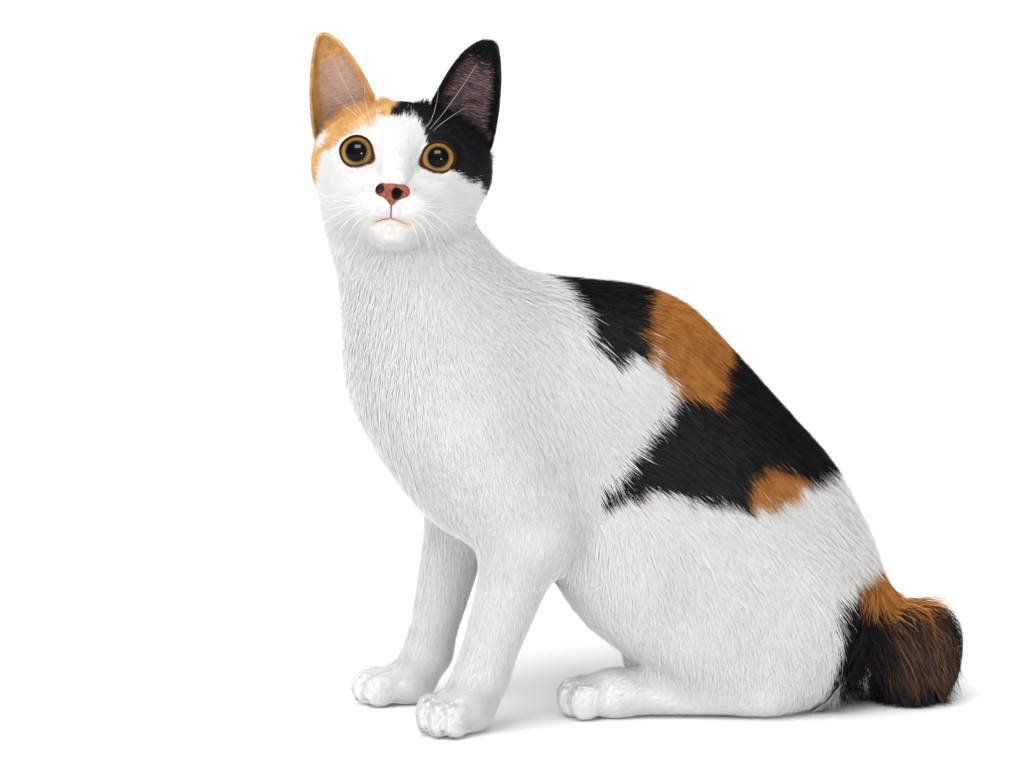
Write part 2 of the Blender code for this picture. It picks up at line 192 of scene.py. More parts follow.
def glint(name, place, width, height, power):
    """A flat lamp that only shows as a reflection."""
    lamp = add_lamp(name, "AREA", place, (0.07, -0.13, 0.30), power)
    lamp.data.shape = "RECTANGLE"
    lamp.data.size = width
    lamp.data.size_y = height
    lamp.visible_diffuse = False


front_lamp = add_lamp("front_lamp", "SUN", (1.3, -0.75, 1.85), (0.03, -0.02, 0.20), FRONT_LIGHT)
front_lamp.data.angle = radians(FRONT_SPREAD)
front_lamp.visible_glossy = False
glint("window", (1.02, -0.16, 1.48), 0.95, 0.55, 52.0)
glint("small_window", (1.46, 0.46, 0.40), 0.12, 0.12, 15.0)


# Body under the coat
# The cat's flesh is one skin. It is a set of soft rounded forms that run into one another, each smaller
# than the solid there by the depth of its coat, with one even mesh laid on their blended surface.
FOOTPRINT = (0.0130, -0.0073)
EYE_LINE = 0.3010
EYE_GAP = 0.0408
EYEBALL = 0.0105
EYE_OPENING = 0.0086
HEAD_YAW = -1.5
HEAD_PITCH = 11.0
HEAD_ROLL = 4.0
CHEST_TURN = 25.0
PAW_WIDTH = 0.033
PAW_LENGTH = 0.043
FORE_PAW_HEIGHT = 0.023
HIND_FOOT_X = 0.050
RIGHT_FOOT_BACK = 0.038
THIGH_SHARE = 0.35
LEFT, RIGHT = 1, -1
FIRST_STEP = 0.0040              # side of the squares of the first mesh
SKIN_STEP = 0.0023               # and of the skin's
BELLY_COAT = 0.0040
NECK_COAT = 0.0042
LEG_COAT = 0.0020
PAW_COAT = 0.0009
THIGH_COAT = 0.0042
HEAD_COAT = 0.0016
FACE_COAT = 0.0008
POM_COAT = 0.0120
FLOOR_GAP = 0.0003


def unit(vector):
    vector = np.asarray(vector, float)
    return vector / np.linalg.norm(vector, axis=-1, keepdims=True)


def axes_along(forward, up=(0, 0, 1)):
    """Rows left, forward, up of a right-angled frame."""
    ahead = unit(forward)
    left = unit(np.cross(up, ahead))
    return np.array([left, ahead, np.cross(ahead, left)])


def heading(degrees):
    """A level direction, turned from -Y toward +X."""
    return np.array([sin(radians(degrees)), -cos(radians(degrees)), 0.0])


def head_axes():
    """Rows left, forward, up of the head."""
    pitch = radians(HEAD_PITCH)
    yaw = radians(HEAD_YAW)
    roll = radians(HEAD_ROLL)
    left, ahead, up = axes_along((cos(pitch) * cos(yaw), cos(pitch) * sin(yaw), sin(pitch)))
    return np.array([cos(roll) * left - sin(roll) * up, ahead, cos(roll) * up + sin(roll) * left])


BODY_PLACE = (np.array([-FOOTPRINT[0], -FOOTPRINT[1], 0.0]), np.eye(3))
HEAD_PLACE = (BODY_PLACE[0] + (0.0745, -0.1354, EYE_LINE), head_axes())


def head_point(left, forward, up):
    """A point of the head's own frame, which lies between the eyeballs."""
    return HEAD_PLACE[0] + np.array([left, forward, up]) @ HEAD_PLACE[1]


def in_head(points):
    """Points in the head's own frame: left, forward and up."""
    return (points - HEAD_PLACE[0]) @ HEAD_PLACE[1].T


def egg(centre, radii, forward=(0, -1, 0), soft=0.02, coat=BELLY_COAT, place=BODY_PLACE):
    """A ball with three radii."""
    origin, turn = place
    axes = axes_along(forward) if place is BODY_PLACE else turn
    centre = origin + np.asarray(centre) @ turn
    return {"centre": centre, "radii": np.array(radii), "axes": axes, "soft": soft, "coat": coat}


def limb(start, end, start_radius, end_radius, soft=0.015, coat=LEG_COAT, place=BODY_PLACE):
    """A cone with round ends."""
    origin, turn = place
    ends = (origin + np.asarray(start) @ turn, origin + np.asarray(end) @ turn)
    return {"ends": ends, "radii": (start_radius, end_radius), "soft": soft, "coat": coat}


def carved(form):
    """The form is taken away instead of added."""
    return {**form, "carve": True, "coat": 0}


def egg_distance(form, points):
    local = (points - form["centre"]) @ form["axes"].T
    scaled = np.linalg.norm(local / form["radii"], axis=1)
    slope = np.linalg.norm(local / form["radii"] ** 2, axis=1)
    return scaled * (scaled - 1) / np.maximum(slope, 1e-9)


def limb_distance(form, points):
    start, end = form["ends"]
    start_radius, end_radius = form["radii"]
    line = end - start
    length = np.linalg.norm(line)
    along = (points - start) @ (line / length)
    aside = np.linalg.norm(points - start - along[:, None] * line / length, axis=1)
    taper = (start_radius - end_radius) / length
    level = np.clip((along + aside * taper / np.sqrt(1 - taper ** 2)) / length, 0, 1)
    reach = np.hypot(along - level * length, aside)
    return reach - (start_radius + (end_radius - start_radius) * level)


def form_distance(form, points):
    return egg_distance(form, points) if "centre" in form else limb_distance(form, points)


def blend(first, second, soft):
    """The union of two forms with a soft crease between them."""
    overlap = np.maximum(soft - np.abs(first - second), 0) / soft
    return np.minimum(first, second) - overlap ** 2 * soft / 4


def distance(forms, points, bare=True):
    """Signed distance to all the forms blended in their order: the bare skin, or the tips of the coat."""
    total = None
    for form in forms:
        one = form_distance(form, points)
        if bare:
            one = one + form["coat"]
        if total is None:
            total = one
        elif "carve" in form:
            total = -blend(-total, one, form["soft"])
        else:
            total = blend(total, one, form["soft"])
    return total


def slope_of(forms, points, level):
    """Which way the distance grows fastest, at these points."""
    probe = 0.0002
    return np.stack([distance(forms, points + probe * axis) - level for axis in np.eye(3)], 1) / probe


def trunk_forms():
    chest = heading(CHEST_TURN)
    return [
        egg((0.033, -0.062, 0.160), (0.051, 0.086, 0.059), (0.26, -0.72, 0.66)),
        egg((0.050, -0.118, 0.187), (0.044, 0.044, 0.060), chest, 0.03),
        egg((0.054, -0.102, 0.137), (0.035, 0.028, 0.036), chest, 0.03),
        egg((0.031, -0.046, 0.186), (0.040, 0.057, 0.042), (0.3, -0.8, 0.5), 0.03),
        limb((0.018, -0.0105, 0.1735), (0.005, 0.0535, 0.1040), 0.0535, 0.0520, 0.03, BELLY_COAT),
        egg((0.022, -0.002, 0.100), (0.048, 0.060, 0.048), (0.15, -0.8, 0.5), 0.04),
        egg((0.004, 0.0725, 0.062), (0.050, 0.055, 0.055), soft=0.025),
        limb((0.050, -0.1155, 0.202), (0.049, -0.1355, 0.260), 0.0485, 0.0405, 0.026, NECK_COAT),
    ]


def paw_forms(place, turn, height):
    """Pad and four toes of a paw on the floor at place."""
    ahead = heading(turn)
    left = np.array([-ahead[1], ahead[0], 0])
    at = np.array([place[0], place[1], 0])
    pad = at - ahead * 0.10 * PAW_LENGTH + (0, 0, 0.50 * height)
    forms = [egg(pad, (0.46 * PAW_WIDTH, 0.42 * PAW_LENGTH, 0.54 * height), ahead, 0.008, PAW_COAT)]
    for aside, along in ((-0.34, 0.20), (-0.125, 0.33), (0.125, 0.33), (0.34, 0.20)):
        toe = at + left * aside * PAW_WIDTH + ahead * along * PAW_LENGTH + (0, 0, 0.44 * height)
        radii = (0.155 * PAW_WIDTH, 0.22 * PAW_LENGTH, 0.45 * height)
        forms.append(egg(toe, radii, ahead + 0.25 * aside * left, 0.0025, PAW_COAT))
    return forms


def left_foreleg_forms():
    return [
        limb((0.075, -0.100, 0.160), (0.078, -0.068, 0.108), 0.030, 0.025, 0.03),
        limb((0.079, -0.070, 0.100), (0.083, -0.0930, 0.030), 0.0215, 0.0145, 0.012),
        limb((0.083, -0.093, 0.030), (0.084, -0.100, 0.014), 0.0145, 0.0130, 0.008),
    ] + paw_forms((0.086, -0.106), 40, FORE_PAW_HEIGHT + 0.001)


def right_foreleg_forms():
    return [
        limb((0.011, -0.122, 0.158), (0.006, -0.094, 0.112), 0.028, 0.024, 0.03),
        limb((0.011, -0.104, 0.104), (0.021, -0.1225, 0.028), 0.0200, 0.0130, 0.012),
        limb((0.021, -0.1225, 0.028), (0.020, -0.132, 0.012), 0.0130, 0.0118, 0.008),
    ] + paw_forms((0.020, -0.141), 8, FORE_PAW_HEIGHT - 0.002)


def hindleg_forms(side, back):
    """Thigh, knee, shin, ham and long hind foot of one side, the foot this much further back."""
    x = side * HIND_FOOT_X
    hip = THIGH_SHARE * back
    inner = x - side * 0.005
    deep = x - side * 0.016
    return [
        egg((inner, 0.026 + hip, 0.070), (0.031, 0.076, 0.054), (0, -0.93, 0.36), coat=THIGH_COAT),
        egg((x + side * 0.007, -0.022 + hip, 0.087), (0.024, 0.032, 0.029), coat=THIGH_COAT),
        limb((x + side * 0.003, -0.013 + hip, 0.068), (x, 0.055 + back, 0.022), 0.024, 0.016, 0.02),
        egg((deep, 0.074 + hip, 0.044), (0.034, 0.036, 0.047), coat=THIGH_COAT),
        limb((x, 0.058 + back, 0.016), (x, -0.020 + back, 0.0125), 0.0155, 0.0122, 0.010, PAW_COAT),
    ] + paw_forms((x, -0.030 + back), 4 * side, FORE_PAW_HEIGHT + 0.001)


def tail_forms():
    return [
        limb((0.008, 0.106, 0.060), (0.011, 0.126, 0.042), 0.016, 0.021, 0.012, 0.006),
        egg((0.013, 0.1425, 0.036), (0.027, 0.0255, 0.028), soft=0.010, coat=POM_COAT),
        egg((0.014, 0.1375, 0.018), (0.028, 0.0275, 0.027), soft=0.012, coat=POM_COAT),
    ]


def head_egg(centre, radii, soft, coat=FACE_COAT):
    return egg(centre, radii, soft=soft, coat=coat, place=HEAD_PLACE)


def head_forms():
    """Skull, brow, jaw, bridge of the nose and chin, and on each side cheek, jaw, muzzle pad and lids."""
    forms = [
        head_egg((0, -0.030, 0.0045), (0.0375, 0.036, 0.0278), 0.016, HEAD_COAT),
        head_egg((0, -0.009, 0.011), (0.025, 0.017, 0.016), 0.012, HEAD_COAT),
        head_egg((0, -0.028, -0.030), (0.029, 0.028, 0.020), 0.015, HEAD_COAT),
        limb((0, -0.001, 0.003), (0, 0.0208, -0.0145), 0.0100, 0.0072, 0.010, FACE_COAT, HEAD_PLACE),
        head_egg((0, 0.0075, -0.0390), (0.0125, 0.0110, 0.0088), 0.012),
    ]
    for side in (LEFT, RIGHT):
        forms += [
            head_egg((side * 0.0268 + 0.0010, -0.019, -0.004), (0.0215, 0.024, 0.024), 0.012, HEAD_COAT),
            head_egg((side * 0.0185, -0.010, -0.0275), (0.0195, 0.0215, 0.014), 0.012, HEAD_COAT),
            head_egg((side * 0.0165, 0.001, -0.016), (0.012, 0.0125, 0.011), 0.010),
            head_egg((side * 0.0088, 0.0140, -0.0275), (0.0118, 0.0110, 0.0092), 0.008),
            head_egg((side * EYE_GAP / 2, 0, 0), (0.0118,) * 3, 0.006, 0.0005),
        ]
    return forms


def face_front(left, up):
    """The point of the face's bare skin straight ahead of a place in the head's own frame."""
    ahead = 0.045
    for _ in range(40):
        gap = float(distance(HEAD, head_point(left, ahead, up)[None])[0])
        ahead -= 0.7 * gap
    return np.array([left, ahead, up])


def mouth_line(side):
    """Points down the groove under the nose and out along the closed lips of one side."""
    outline = ((0, -0.0262), (0, -0.0290), (0, -0.0318), (0, -0.0338), (side * 0.0030, -0.0343),
               (side * 0.0060, -0.0353), (side * 0.0090, -0.0364))
    return [face_front(left, up) for left, up in outline]


def nostril(side, spare=0.0):
    """One nostril's hollow. The nose points a little right, so the two differ as the lens sees them."""
    if side == LEFT:
        return head_egg((0.0024, 0.0272, -0.0218), (0.0024 + spare, 0.0042 + spare, 0.0030 + spare), 0.001, 0)
    return head_egg((-0.0064, 0.0250, -0.0195), (0.0021 + spare, 0.0048 + spare, 0.0022 + spare), 0.001, 0)


def hull_of(balls):
    """The convex hull of balls, each a centre and a radius, as a bmesh."""
    builder = bmesh.new()
    for centre, radius in balls:
        place = Matrix.Translation(Vector(centre))
        bmesh.ops.create_icosphere(builder, subdivisions=2, radius=radius, matrix=place)
    bmesh.ops.delete(builder, geom=builder.edges[:] + builder.faces[:], context="EDGES_FACES")
    hull = bmesh.ops.convex_hull(builder, input=builder.verts)
    inside = [item for item in hull["geom_interior"] if isinstance(item, bmesh.types.BMVert)]
    bmesh.ops.delete(builder, geom=inside, context="VERTS")
    bmesh.ops.recalc_face_normals(builder, faces=builder.faces)
    return builder


def rough_form(form):
    """One form as a closed mesh, without its coat."""
    if "ends" in form:
        return hull_of([(end, radius - form["coat"]) for end, radius in zip(form["ends"], form["radii"])])
    builder = bmesh.new()
    bmesh.ops.create_icosphere(builder, subdivisions=3, radius=1)
    turn = Matrix((form["axes"] * (form["radii"] - form["coat"])[:, None]).T).to_4x4()
    bmesh.ops.transform(builder, matrix=Matrix.Translation(form["centre"]) @ turn, verts=builder.verts)
    bmesh.ops.recalc_face_normals(builder, faces=builder.faces)
    return builder


def evaluated_mesh(piece):
    graph = bpy.context.evaluated_depsgraph_get()
    return bpy.data.meshes.new_from_object(piece.evaluated_get(graph))


def remeshed(mesh, step):
    """The mesh as even squares, a little smoothed."""
    piece = put_in_scene("remeshed", mesh)
    remesh = piece.modifiers.new("one_surface", "REMESH")
    remesh.mode = "VOXEL"
    remesh.voxel_size = step
    relax = piece.modifiers.new("even", "SMOOTH")
    relax.iterations = 4
    result = evaluated_mesh(piece)
    bpy.data.objects.remove(piece)
    return result


def points_of(mesh):
    points = np.empty(len(mesh.vertices) * 3)
    mesh.vertices.foreach_get("co", points)
    return points.reshape(-1, 3)


def set_points(mesh, points):
    mesh.vertices.foreach_set("co", points.ravel())
    mesh.update()


def laid_on(points, forms, rounds, reach=0.003):
    """The points moved onto the blended bare surface of the forms."""
    for _ in range(rounds):
        level = distance(forms, points)
        slope = slope_of(forms, points, level)
        steep = np.maximum((slope ** 2).sum(1), 0.25)
        points = points - np.clip(level / steep, -reach, reach)[:, None] * slope
    return points


def joined_forms(forms):
    together = bmesh.new()
    for form in forms:
        part = mesh_from(rough_form(form), "form")
        together.from_mesh(part)
        bpy.data.meshes.remove(part)
    return mesh_from(together, "rough")


LEFT_FORELEG, RIGHT_FORELEG = left_foreleg_forms(), right_foreleg_forms()
LEFT_HINDLEG, RIGHT_HINDLEG = hindleg_forms(LEFT, 0), hindleg_forms(RIGHT, RIGHT_FOOT_BACK)
TORSO = trunk_forms() + LEFT_FORELEG + RIGHT_FORELEG + LEFT_HINDLEG + RIGHT_HINDLEG
TAIL = tail_forms()
BODY = TORSO + TAIL
HEAD = head_forms()
FLESH = BODY + HEAD
FACE_CENTRE = head_point(0, 0.016, -0.020)
MOUTH = {side: mouth_line(side) for side in (LEFT, RIGHT)}

skin_mesh = joined_forms(FLESH)
for step, rounds in ((FIRST_STEP, 8), (SKIN_STEP, 4)):
    skin_mesh = remeshed(skin_mesh, step)
    set_points(skin_mesh, laid_on(points_of(skin_mesh), FLESH, rounds))


# Face folds
# The skin is finer round the eyes, nose and mouth. There it dips into the eye sockets, rolls over the lids'
# rims, folds above the upper lids, and has the groove under the nose and the closed lips.
LIP_DEPTH = 0.0007
LIP_SPREAD = 0.0008              # width of the pressed-in line
GROOVE_NARROW = 2.0              # how much narrower everything round the lips is under the nose
SOCKET_DEPTH = 0.0020            # how far under the eyeball's surface the skin is inside the opening
LID_ROLL = 0.0029                # and how much higher it is on the lids' rims
FOLD_DEPTH = 0.0006              # the fold over the upper lid: its depth, place past the opening and width
FOLD_PLACE = 0.0036
FOLD_WIDTH = 0.0008
EYE_REACH = 0.020                # the lids shape the skin this near to the eyeball's middle


def smooth(low, high, values):
    share = np.clip((values - low) / (high - low), 0, 1)
    return share * share * (3 - 2 * share)


def finer(mesh, zones):
    """The mesh with the squares inside each zone, a centre and a radius, cut in four."""
    cutter = bmesh.new()
    cutter.from_mesh(mesh)
    for centre, radius in zones:
        near = [edge for edge in cutter.edges
                if max((vertex.co - Vector(centre)).length for vertex in edge.verts) < radius]
        bmesh.ops.subdivide_edges(cutter, edges=near, cuts=1, use_grid_fill=True)
    bmesh.ops.triangulate(cutter, faces=[face for face in cutter.faces if len(face.verts) > 4])
    cutter.to_mesh(mesh)
    cutter.free()
    mesh.update()


def eye_frame(side):
    """Middle of the eyeball and rows outward, upward and ahead of the gaze."""
    middle = head_point(side * EYE_GAP / 2, 0, 0)
    ahead = unit(np.array([side * 0.07, 1, 0.02]) @ HEAD_PLACE[1])
    outward = unit(side * HEAD_PLACE[1][0] - ahead * (side * HEAD_PLACE[1][0] @ ahead))
    upward = np.cross(outward, ahead) * side
    return middle, np.array([outward, upward * np.sign(upward[2]), ahead])


def opening_radius(angle):
    """Reach of the lids' opening: nearly round, with a short corner toward the nose."""
    nose_corner = np.maximum(np.cos(angle - radians(205)), 0) ** 14
    outer_corner = np.maximum(np.cos(angle - radians(12)), 0) ** 10
    return EYE_OPENING + 0.0020 * nose_corner + 0.0006 * outer_corner


def past_opening(local):
    """How far places in an eye's own frame lie outside the lids' opening."""
    return np.hypot(local[:, 0], local[:, 1]) - opening_radius(np.arctan2(local[:, 1], local[:, 0]))


def from_lips(points):
    """How far points of the face are from the line of the lips, seen from ahead."""
    local = in_head(points)
    flat = local[:, (0, 2)]
    nearest = np.full(len(points), np.inf)
    for side in (LEFT, RIGHT):
        path = [np.array(place)[[0, 2]] for place in MOUTH[side]]
        for start, end in zip(path, path[1:]):
            share = np.clip((flat - start) @ (end - start) / ((end - start) @ (end - start)), 0, 1)
            gap = np.linalg.norm(flat - start - share[:, None] * (end - start), axis=1)
            nearest = np.minimum(nearest, gap * (GROOVE_NARROW if start[0] == end[0] else 1))
    return np.where(local[:, 1] > 0, nearest, 1.0)


def with_lids(points, side):
    """The skin round one eye: sunk behind the ball inside the opening, and rolled over the rims."""
    middle, axes = eye_frame(side)
    local = (points - middle) @ axes.T
    past = past_opening(local)
    now = np.linalg.norm(local, axis=1)
    rim = EYEBALL - SOCKET_DEPTH + LID_ROLL * smooth(-0.0009, 0.0006, past)
    fold = FOLD_DEPTH * np.exp(-((past - FOLD_PLACE) / FOLD_WIDTH) ** 2) * smooth(-0.002, 0.004, local[:, 1])
    wanted = rim + (now - rim) * smooth(0.0004, 0.0045, past) - fold
    moved = middle + (points - middle) * (wanted / now)[:, None]
    here = (local[:, 2] > 0.001) & (now < EYE_REACH)
    return np.where(here[:, None], moved, points)


EYES = {side: eye_frame(side) for side in (LEFT, RIGHT)}
FACE_ZONES = [(EYES[side][0], reach) for reach in (0.0185, 0.0150) for side in (LEFT, RIGHT)]
FACE_ZONES += [(FACE_CENTRE, 0.0220), (head_point(0, 0.018, -0.032), 0.0165),
               (head_point(0, 0.021, -0.034), 0.0130)]
finer(skin_mesh, FACE_ZONES)
points = points_of(skin_mesh)
near_face = np.linalg.norm(points - HEAD_PLACE[0], axis=1) < 0.055
hollowed = HEAD + [carved(nostril(side, 0.0010)) for side in (LEFT, RIGHT)]
points[near_face] = laid_on(points[near_face], hollowed, 4, 0.001)
points -= HEAD_PLACE[1][1] * (LIP_DEPTH * np.exp(-(from_lips(points) / LIP_SPREAD) ** 2))[:, None]
for side in (LEFT, RIGHT):
    points = with_lids(points, side)
points[:, 2] = np.maximum(points[:, 2], FLOOR_GAP)
set_points(skin_mesh, points)


# Ears
# Each ear is a thin cupped wall of gristle and skin that stands out of the head. It is a sheet bent between
# its inner and its outer edge, given a thickness, and grown together with the head's skin.
EAR_WALL = 0.0011
EAR_COLUMNS, EAR_ROWS = 26, 34
EAR_ROOT = -0.07                 # how far the sheet goes down into the head, as a share of its height
EAR_TOP = 0.999
EAR_CUP = 0.022                  # depth of the cup at the foot and at the tip
EAR_TIP_CUP = 0.0015
EAR_NEAR = 0.0022                # points this near to the sheet belong to the ear
INNER_EDGES = {
    LEFT: [(0.012, -0.014, 0.024), (0.019, -0.008, 0.041), (0.028, -0.007, 0.062), (0.0405, -0.011, 0.0645)],
    RIGHT: [(0.0125, -0.014, 0.024), (0.020, -0.008, 0.041), (0.031, -0.007, 0.056), (0.042, -0.011, 0.062)],
}


def bezier(points, share):
    """A point on the curve of four control points."""
    a, b, c, d = (np.array(point) for point in points)
    rest = 1 - share
    return a * rest ** 3 + 3 * b * rest ** 2 * share + 3 * c * rest * share ** 2 + d * share ** 3


def ear_point(side, around, height):
    """A point of the ear's wall: around runs from -1, the inner edge, to 1, the outer edge."""
    inner = INNER_EDGES[side]
    tip = (inner[3][0] + 0.0045, -0.011, inner[3][2] - 0.0008)
    outer = [(0.0450, -0.023, 0.008), (0.0500, -0.014, 0.022), (0.0500, -0.010, 0.054), tip]
    near = bezier(inner, height)
    far = bezier(outer, height)
    narrow = np.sqrt(max(1 - (max(height - 0.95, 0) / 0.05) ** 2, 0.03))
    depth = EAR_CUP * (1 - height) ** 0.8 + EAR_TIP_CUP
    bend = sin(around * radians(90)) * narrow
    point = (near + far) / 2 + (far - near) / 2 * bend - np.array([0, depth, 0]) * cos(around * radians(90))
    return head_point(side * point[0], point[1], point[2])


def ear_shell(side):
    sheet = bmesh.new()
    bmesh.ops.create_grid(sheet, x_segments=EAR_COLUMNS, y_segments=EAR_ROWS, size=1)
    for vertex in sheet.verts:
        height = EAR_ROOT + (1 - EAR_ROOT) * (vertex.co.y + 1) / 2
        vertex.co = ear_point(side, vertex.co.x, min(height, EAR_TOP))
    if side == RIGHT:
        bmesh.ops.reverse_faces(sheet, faces=sheet.faces)
    piece = put_in_scene("ear_shell", mesh_from(sheet, "ear_shell"))
    wall = piece.modifiers.new("wall", "SOLIDIFY")
    wall.thickness = EAR_WALL
    wall.offset = 0
    shell = evaluated_mesh(piece)
    bpy.data.objects.remove(piece)
    return shell


def grown_together(mesh, other):
    """The union of two closed meshes."""
    piece = put_in_scene("whole", mesh)
    part = put_in_scene("part", other)
    union = piece.modifiers.new("union", "BOOLEAN")
    union.operation = "UNION"
    union.solver = "EXACT"
    union.object = part
    result = evaluated_mesh(piece)
    bpy.data.objects.remove(piece)
    bpy.data.objects.remove(part)
    return result


def ear_places(points):
    """Where points lie by the ears' sheets: side or 0, around, height, and whether in the cup."""
    shares = [(around, height) for around in np.linspace(-1, 1, 41)
              for height in np.linspace(EAR_ROOT, EAR_TOP, 49)]
    local = in_head(points)
    found = np.zeros((len(points), 4))
    for side in (LEFT, RIGHT):
        sheet = np.array([ear_point(side, around, height) for around, height in shares])
        middles = [(ear_point(side, -1, height) + ear_point(side, 1, height)) / 2 for _, height in shares]
        axis = np.array(middles)
        tree = KDTree(len(sheet))
        for number, place in enumerate(sheet):
            tree.insert(place, number)
        tree.balance()
        for number in np.flatnonzero((local[:, 0] * side > 0.008) & (local[:, 2] > -0.006)):
            spot = points[number]
            _, near, gap = tree.find(spot)
            if gap < EAR_NEAR:
                in_cup = np.linalg.norm(spot - axis[near]) < np.linalg.norm(sheet[near] - axis[near])
                found[number] = (side, *shares[near], in_cup)
    return found


def bare_ear(by_ear):
    """How bare the skin is: 1 in the cup's middle and its outer pocket, 0 at the rim, tip and outside."""
    _, around, height, in_cup = by_ear.T
    middle = (1 - smooth(0.25, 0.62, around)) * (1 - smooth(0.50, 0.85, -around))
    middle *= 1 - smooth(0.55, 0.80, height)
    pocket = np.exp(-((around - 0.62) / 0.24) ** 2 - ((height - 0.10) / 0.09) ** 2)
    return in_cup * smooth(0.0, 0.08, height) * np.maximum(middle, pocket)


for side in (LEFT, RIGHT):
    skin_mesh = grown_together(skin_mesh, ear_shell(side))
points = points_of(skin_mesh)
at_ear_root = (ear_places(points)[:, 0] != 0) & (np.abs(distance(HEAD, points)) < 0.0025)
joint = bmesh.new()
joint.from_mesh(skin_mesh)
joint.verts.ensure_lookup_table()
ear_root = [joint.verts[number] for number in np.flatnonzero(at_ear_root)]
for _ in range(6):
    bmesh.ops.smooth_vert(joint, verts=ear_root, factor=0.5, use_axis_x=True, use_axis_y=True,
                          use_axis_z=True)
bmesh.ops.triangulate(joint, faces=[face for face in joint.faces if len(face.verts) > 4])
joint.to_mesh(skin_mesh)
joint.free()


# Markings
# A calico coat: white, with orange over the right ear and brow, black over the left ear and side of the
# head, patches over the back and a pom of black, brown and orange. Outlines are in the side view, in mm.
WITHERS_BLACK = ((-53, 237), (-50, 262), (4, 252), (1, 227), (-1, 206), (-4, 197), (-15, 190), (-23, 195),
                 (-29, 209), (-38, 223))
BACK_ORANGE = ((1, 227), (8, 252), (46, 222), (41, 196), (39, 183), (35, 171), (23, 174), (5, 188), (-1, 206))
SADDLE_BLACK = ((41, 201), (35, 171), (23, 174), (12, 169), (2, 154), (-11, 137), (-21, 124), (-22, 114),
                (-11, 119), (2, 123), (23, 118), (52, 116), (55, 128), (62, 135), (81, 133), (91, 129),
                (112, 135), (62, 215))
HIP_ORANGE = ((54, 118), (56, 128), (62, 134), (79, 132), (82, 129), (79, 121), (70, 116), (61, 115))
RIGHT_WITHERS_BLACK = ((-60, 235), (-50, 262), (4, 252), (2, 222), (-8, 200), (-24, 186), (-40, 196),
                       (-52, 214))
RIGHT_BACK_ORANGE = ((2, 222), (8, 252), (46, 222), (38, 190), (20, 165), (-4, 158), (-18, 170), (-8, 200))
RIGHT_SADDLE_BLACK = ((38, 190), (62, 215), (112, 135), (90, 118), (60, 98), (30, 100), (14, 118), (22, 140),
                      (20, 165))
POM = ((104, -5), (104, 62), (112, 70), (122, 79), (190, 90), (190, -5))
POM_ORANGE = ((113, 63), (116, 73), (124, 80), (142, 80), (152, 76), (166, 60), (150, 50), (131, 47),
              (121, 55))
POM_BROWN = ((132, 44), (144, 53), (166, 52), (172, 10), (130, 12), (130, 38))
POM_RIGHT = -0.024               # the pom's marks end here on the right of the rump
SPINE = ((-0.11, 0.08), (0.037, -0.009))         # y at the withers and the rump, and x there
BLACK_CAP = ((-6, 5.3, 12.2, 14.5, 20.4, 29, 41.2, 46), (25, 20.6, 14.6, 8.3, 2, -6.8, -9.6, -18))  # left, up
ORANGE_CAP = ((-42, -41.3, -39.5, -37.8, -30.2, -28.7, -23.3, -16, -12.2, -4.3),
              (-17, -14.5, -4.4, 0.7, 4.5, 6.3, 11.6, 14.6, 19.9, 25.4))
PALE_SPOT = (-42.0, 6.0, 4.0)    # left, up and radius of the white fur under the right ear
CAP_MIDDLE = -5.0
SIDE_PLANE = 0.030               # the left side's outlines are drawn on this plane, as the lens sees them
PATCH_GAP = 6.0                  # patches of two colours this near to each other meet
HEAD_FROM = 0.262                # the head's marks start at this height
CAP_BEHIND = -30.0               # mm ahead of the eyes from which the caps reach lower behind,
BLACK_FOOT = -22.0               # and how low they reach
ORANGE_FOOT = -18.0
TAIL_BACK = 0.09                 # the tail's marks start here, and end at this height
TAIL_TOP = 0.100
MILLIMETRE = 0.001


def ripple(points, size, seed):
    """Smooth noise, about -1 to 1, whose bumps are about size apart."""
    random = np.random.default_rng(seed)
    total = np.zeros(len(points))
    for _ in range(9):
        wave = unit(random.normal(size=3)) * 2 * pi / (size * random.uniform(0.7, 1.6))
        total += np.sin(points @ wave + random.uniform(0, 2 * pi))
    return total / 3


def depth_in(outline, across, up):
    """How deep a point lies inside a closed outline, and less than 0 outside it."""
    inside = np.zeros(len(across), bool)
    nearest = np.full(len(across), np.inf)
    for (x0, y0), (x1, y1) in zip(outline, outline[1:] + outline[:1]):
        along = ((across - x0) * (x1 - x0) + (up - y0) * (y1 - y0)) / ((x1 - x0) ** 2 + (y1 - y0) ** 2)
        along = np.clip(along, 0, 1)
        nearest = np.minimum(nearest, np.hypot(across - x0 - along * (x1 - x0), up - y0 - along * (y1 - y0)))
        if y0 != y1:
            inside ^= ((y0 > up) != (y1 > up)) & (across < (x1 - x0) * (up - y0) / (y1 - y0) + x0)
    return np.where(inside, nearest, -nearest)


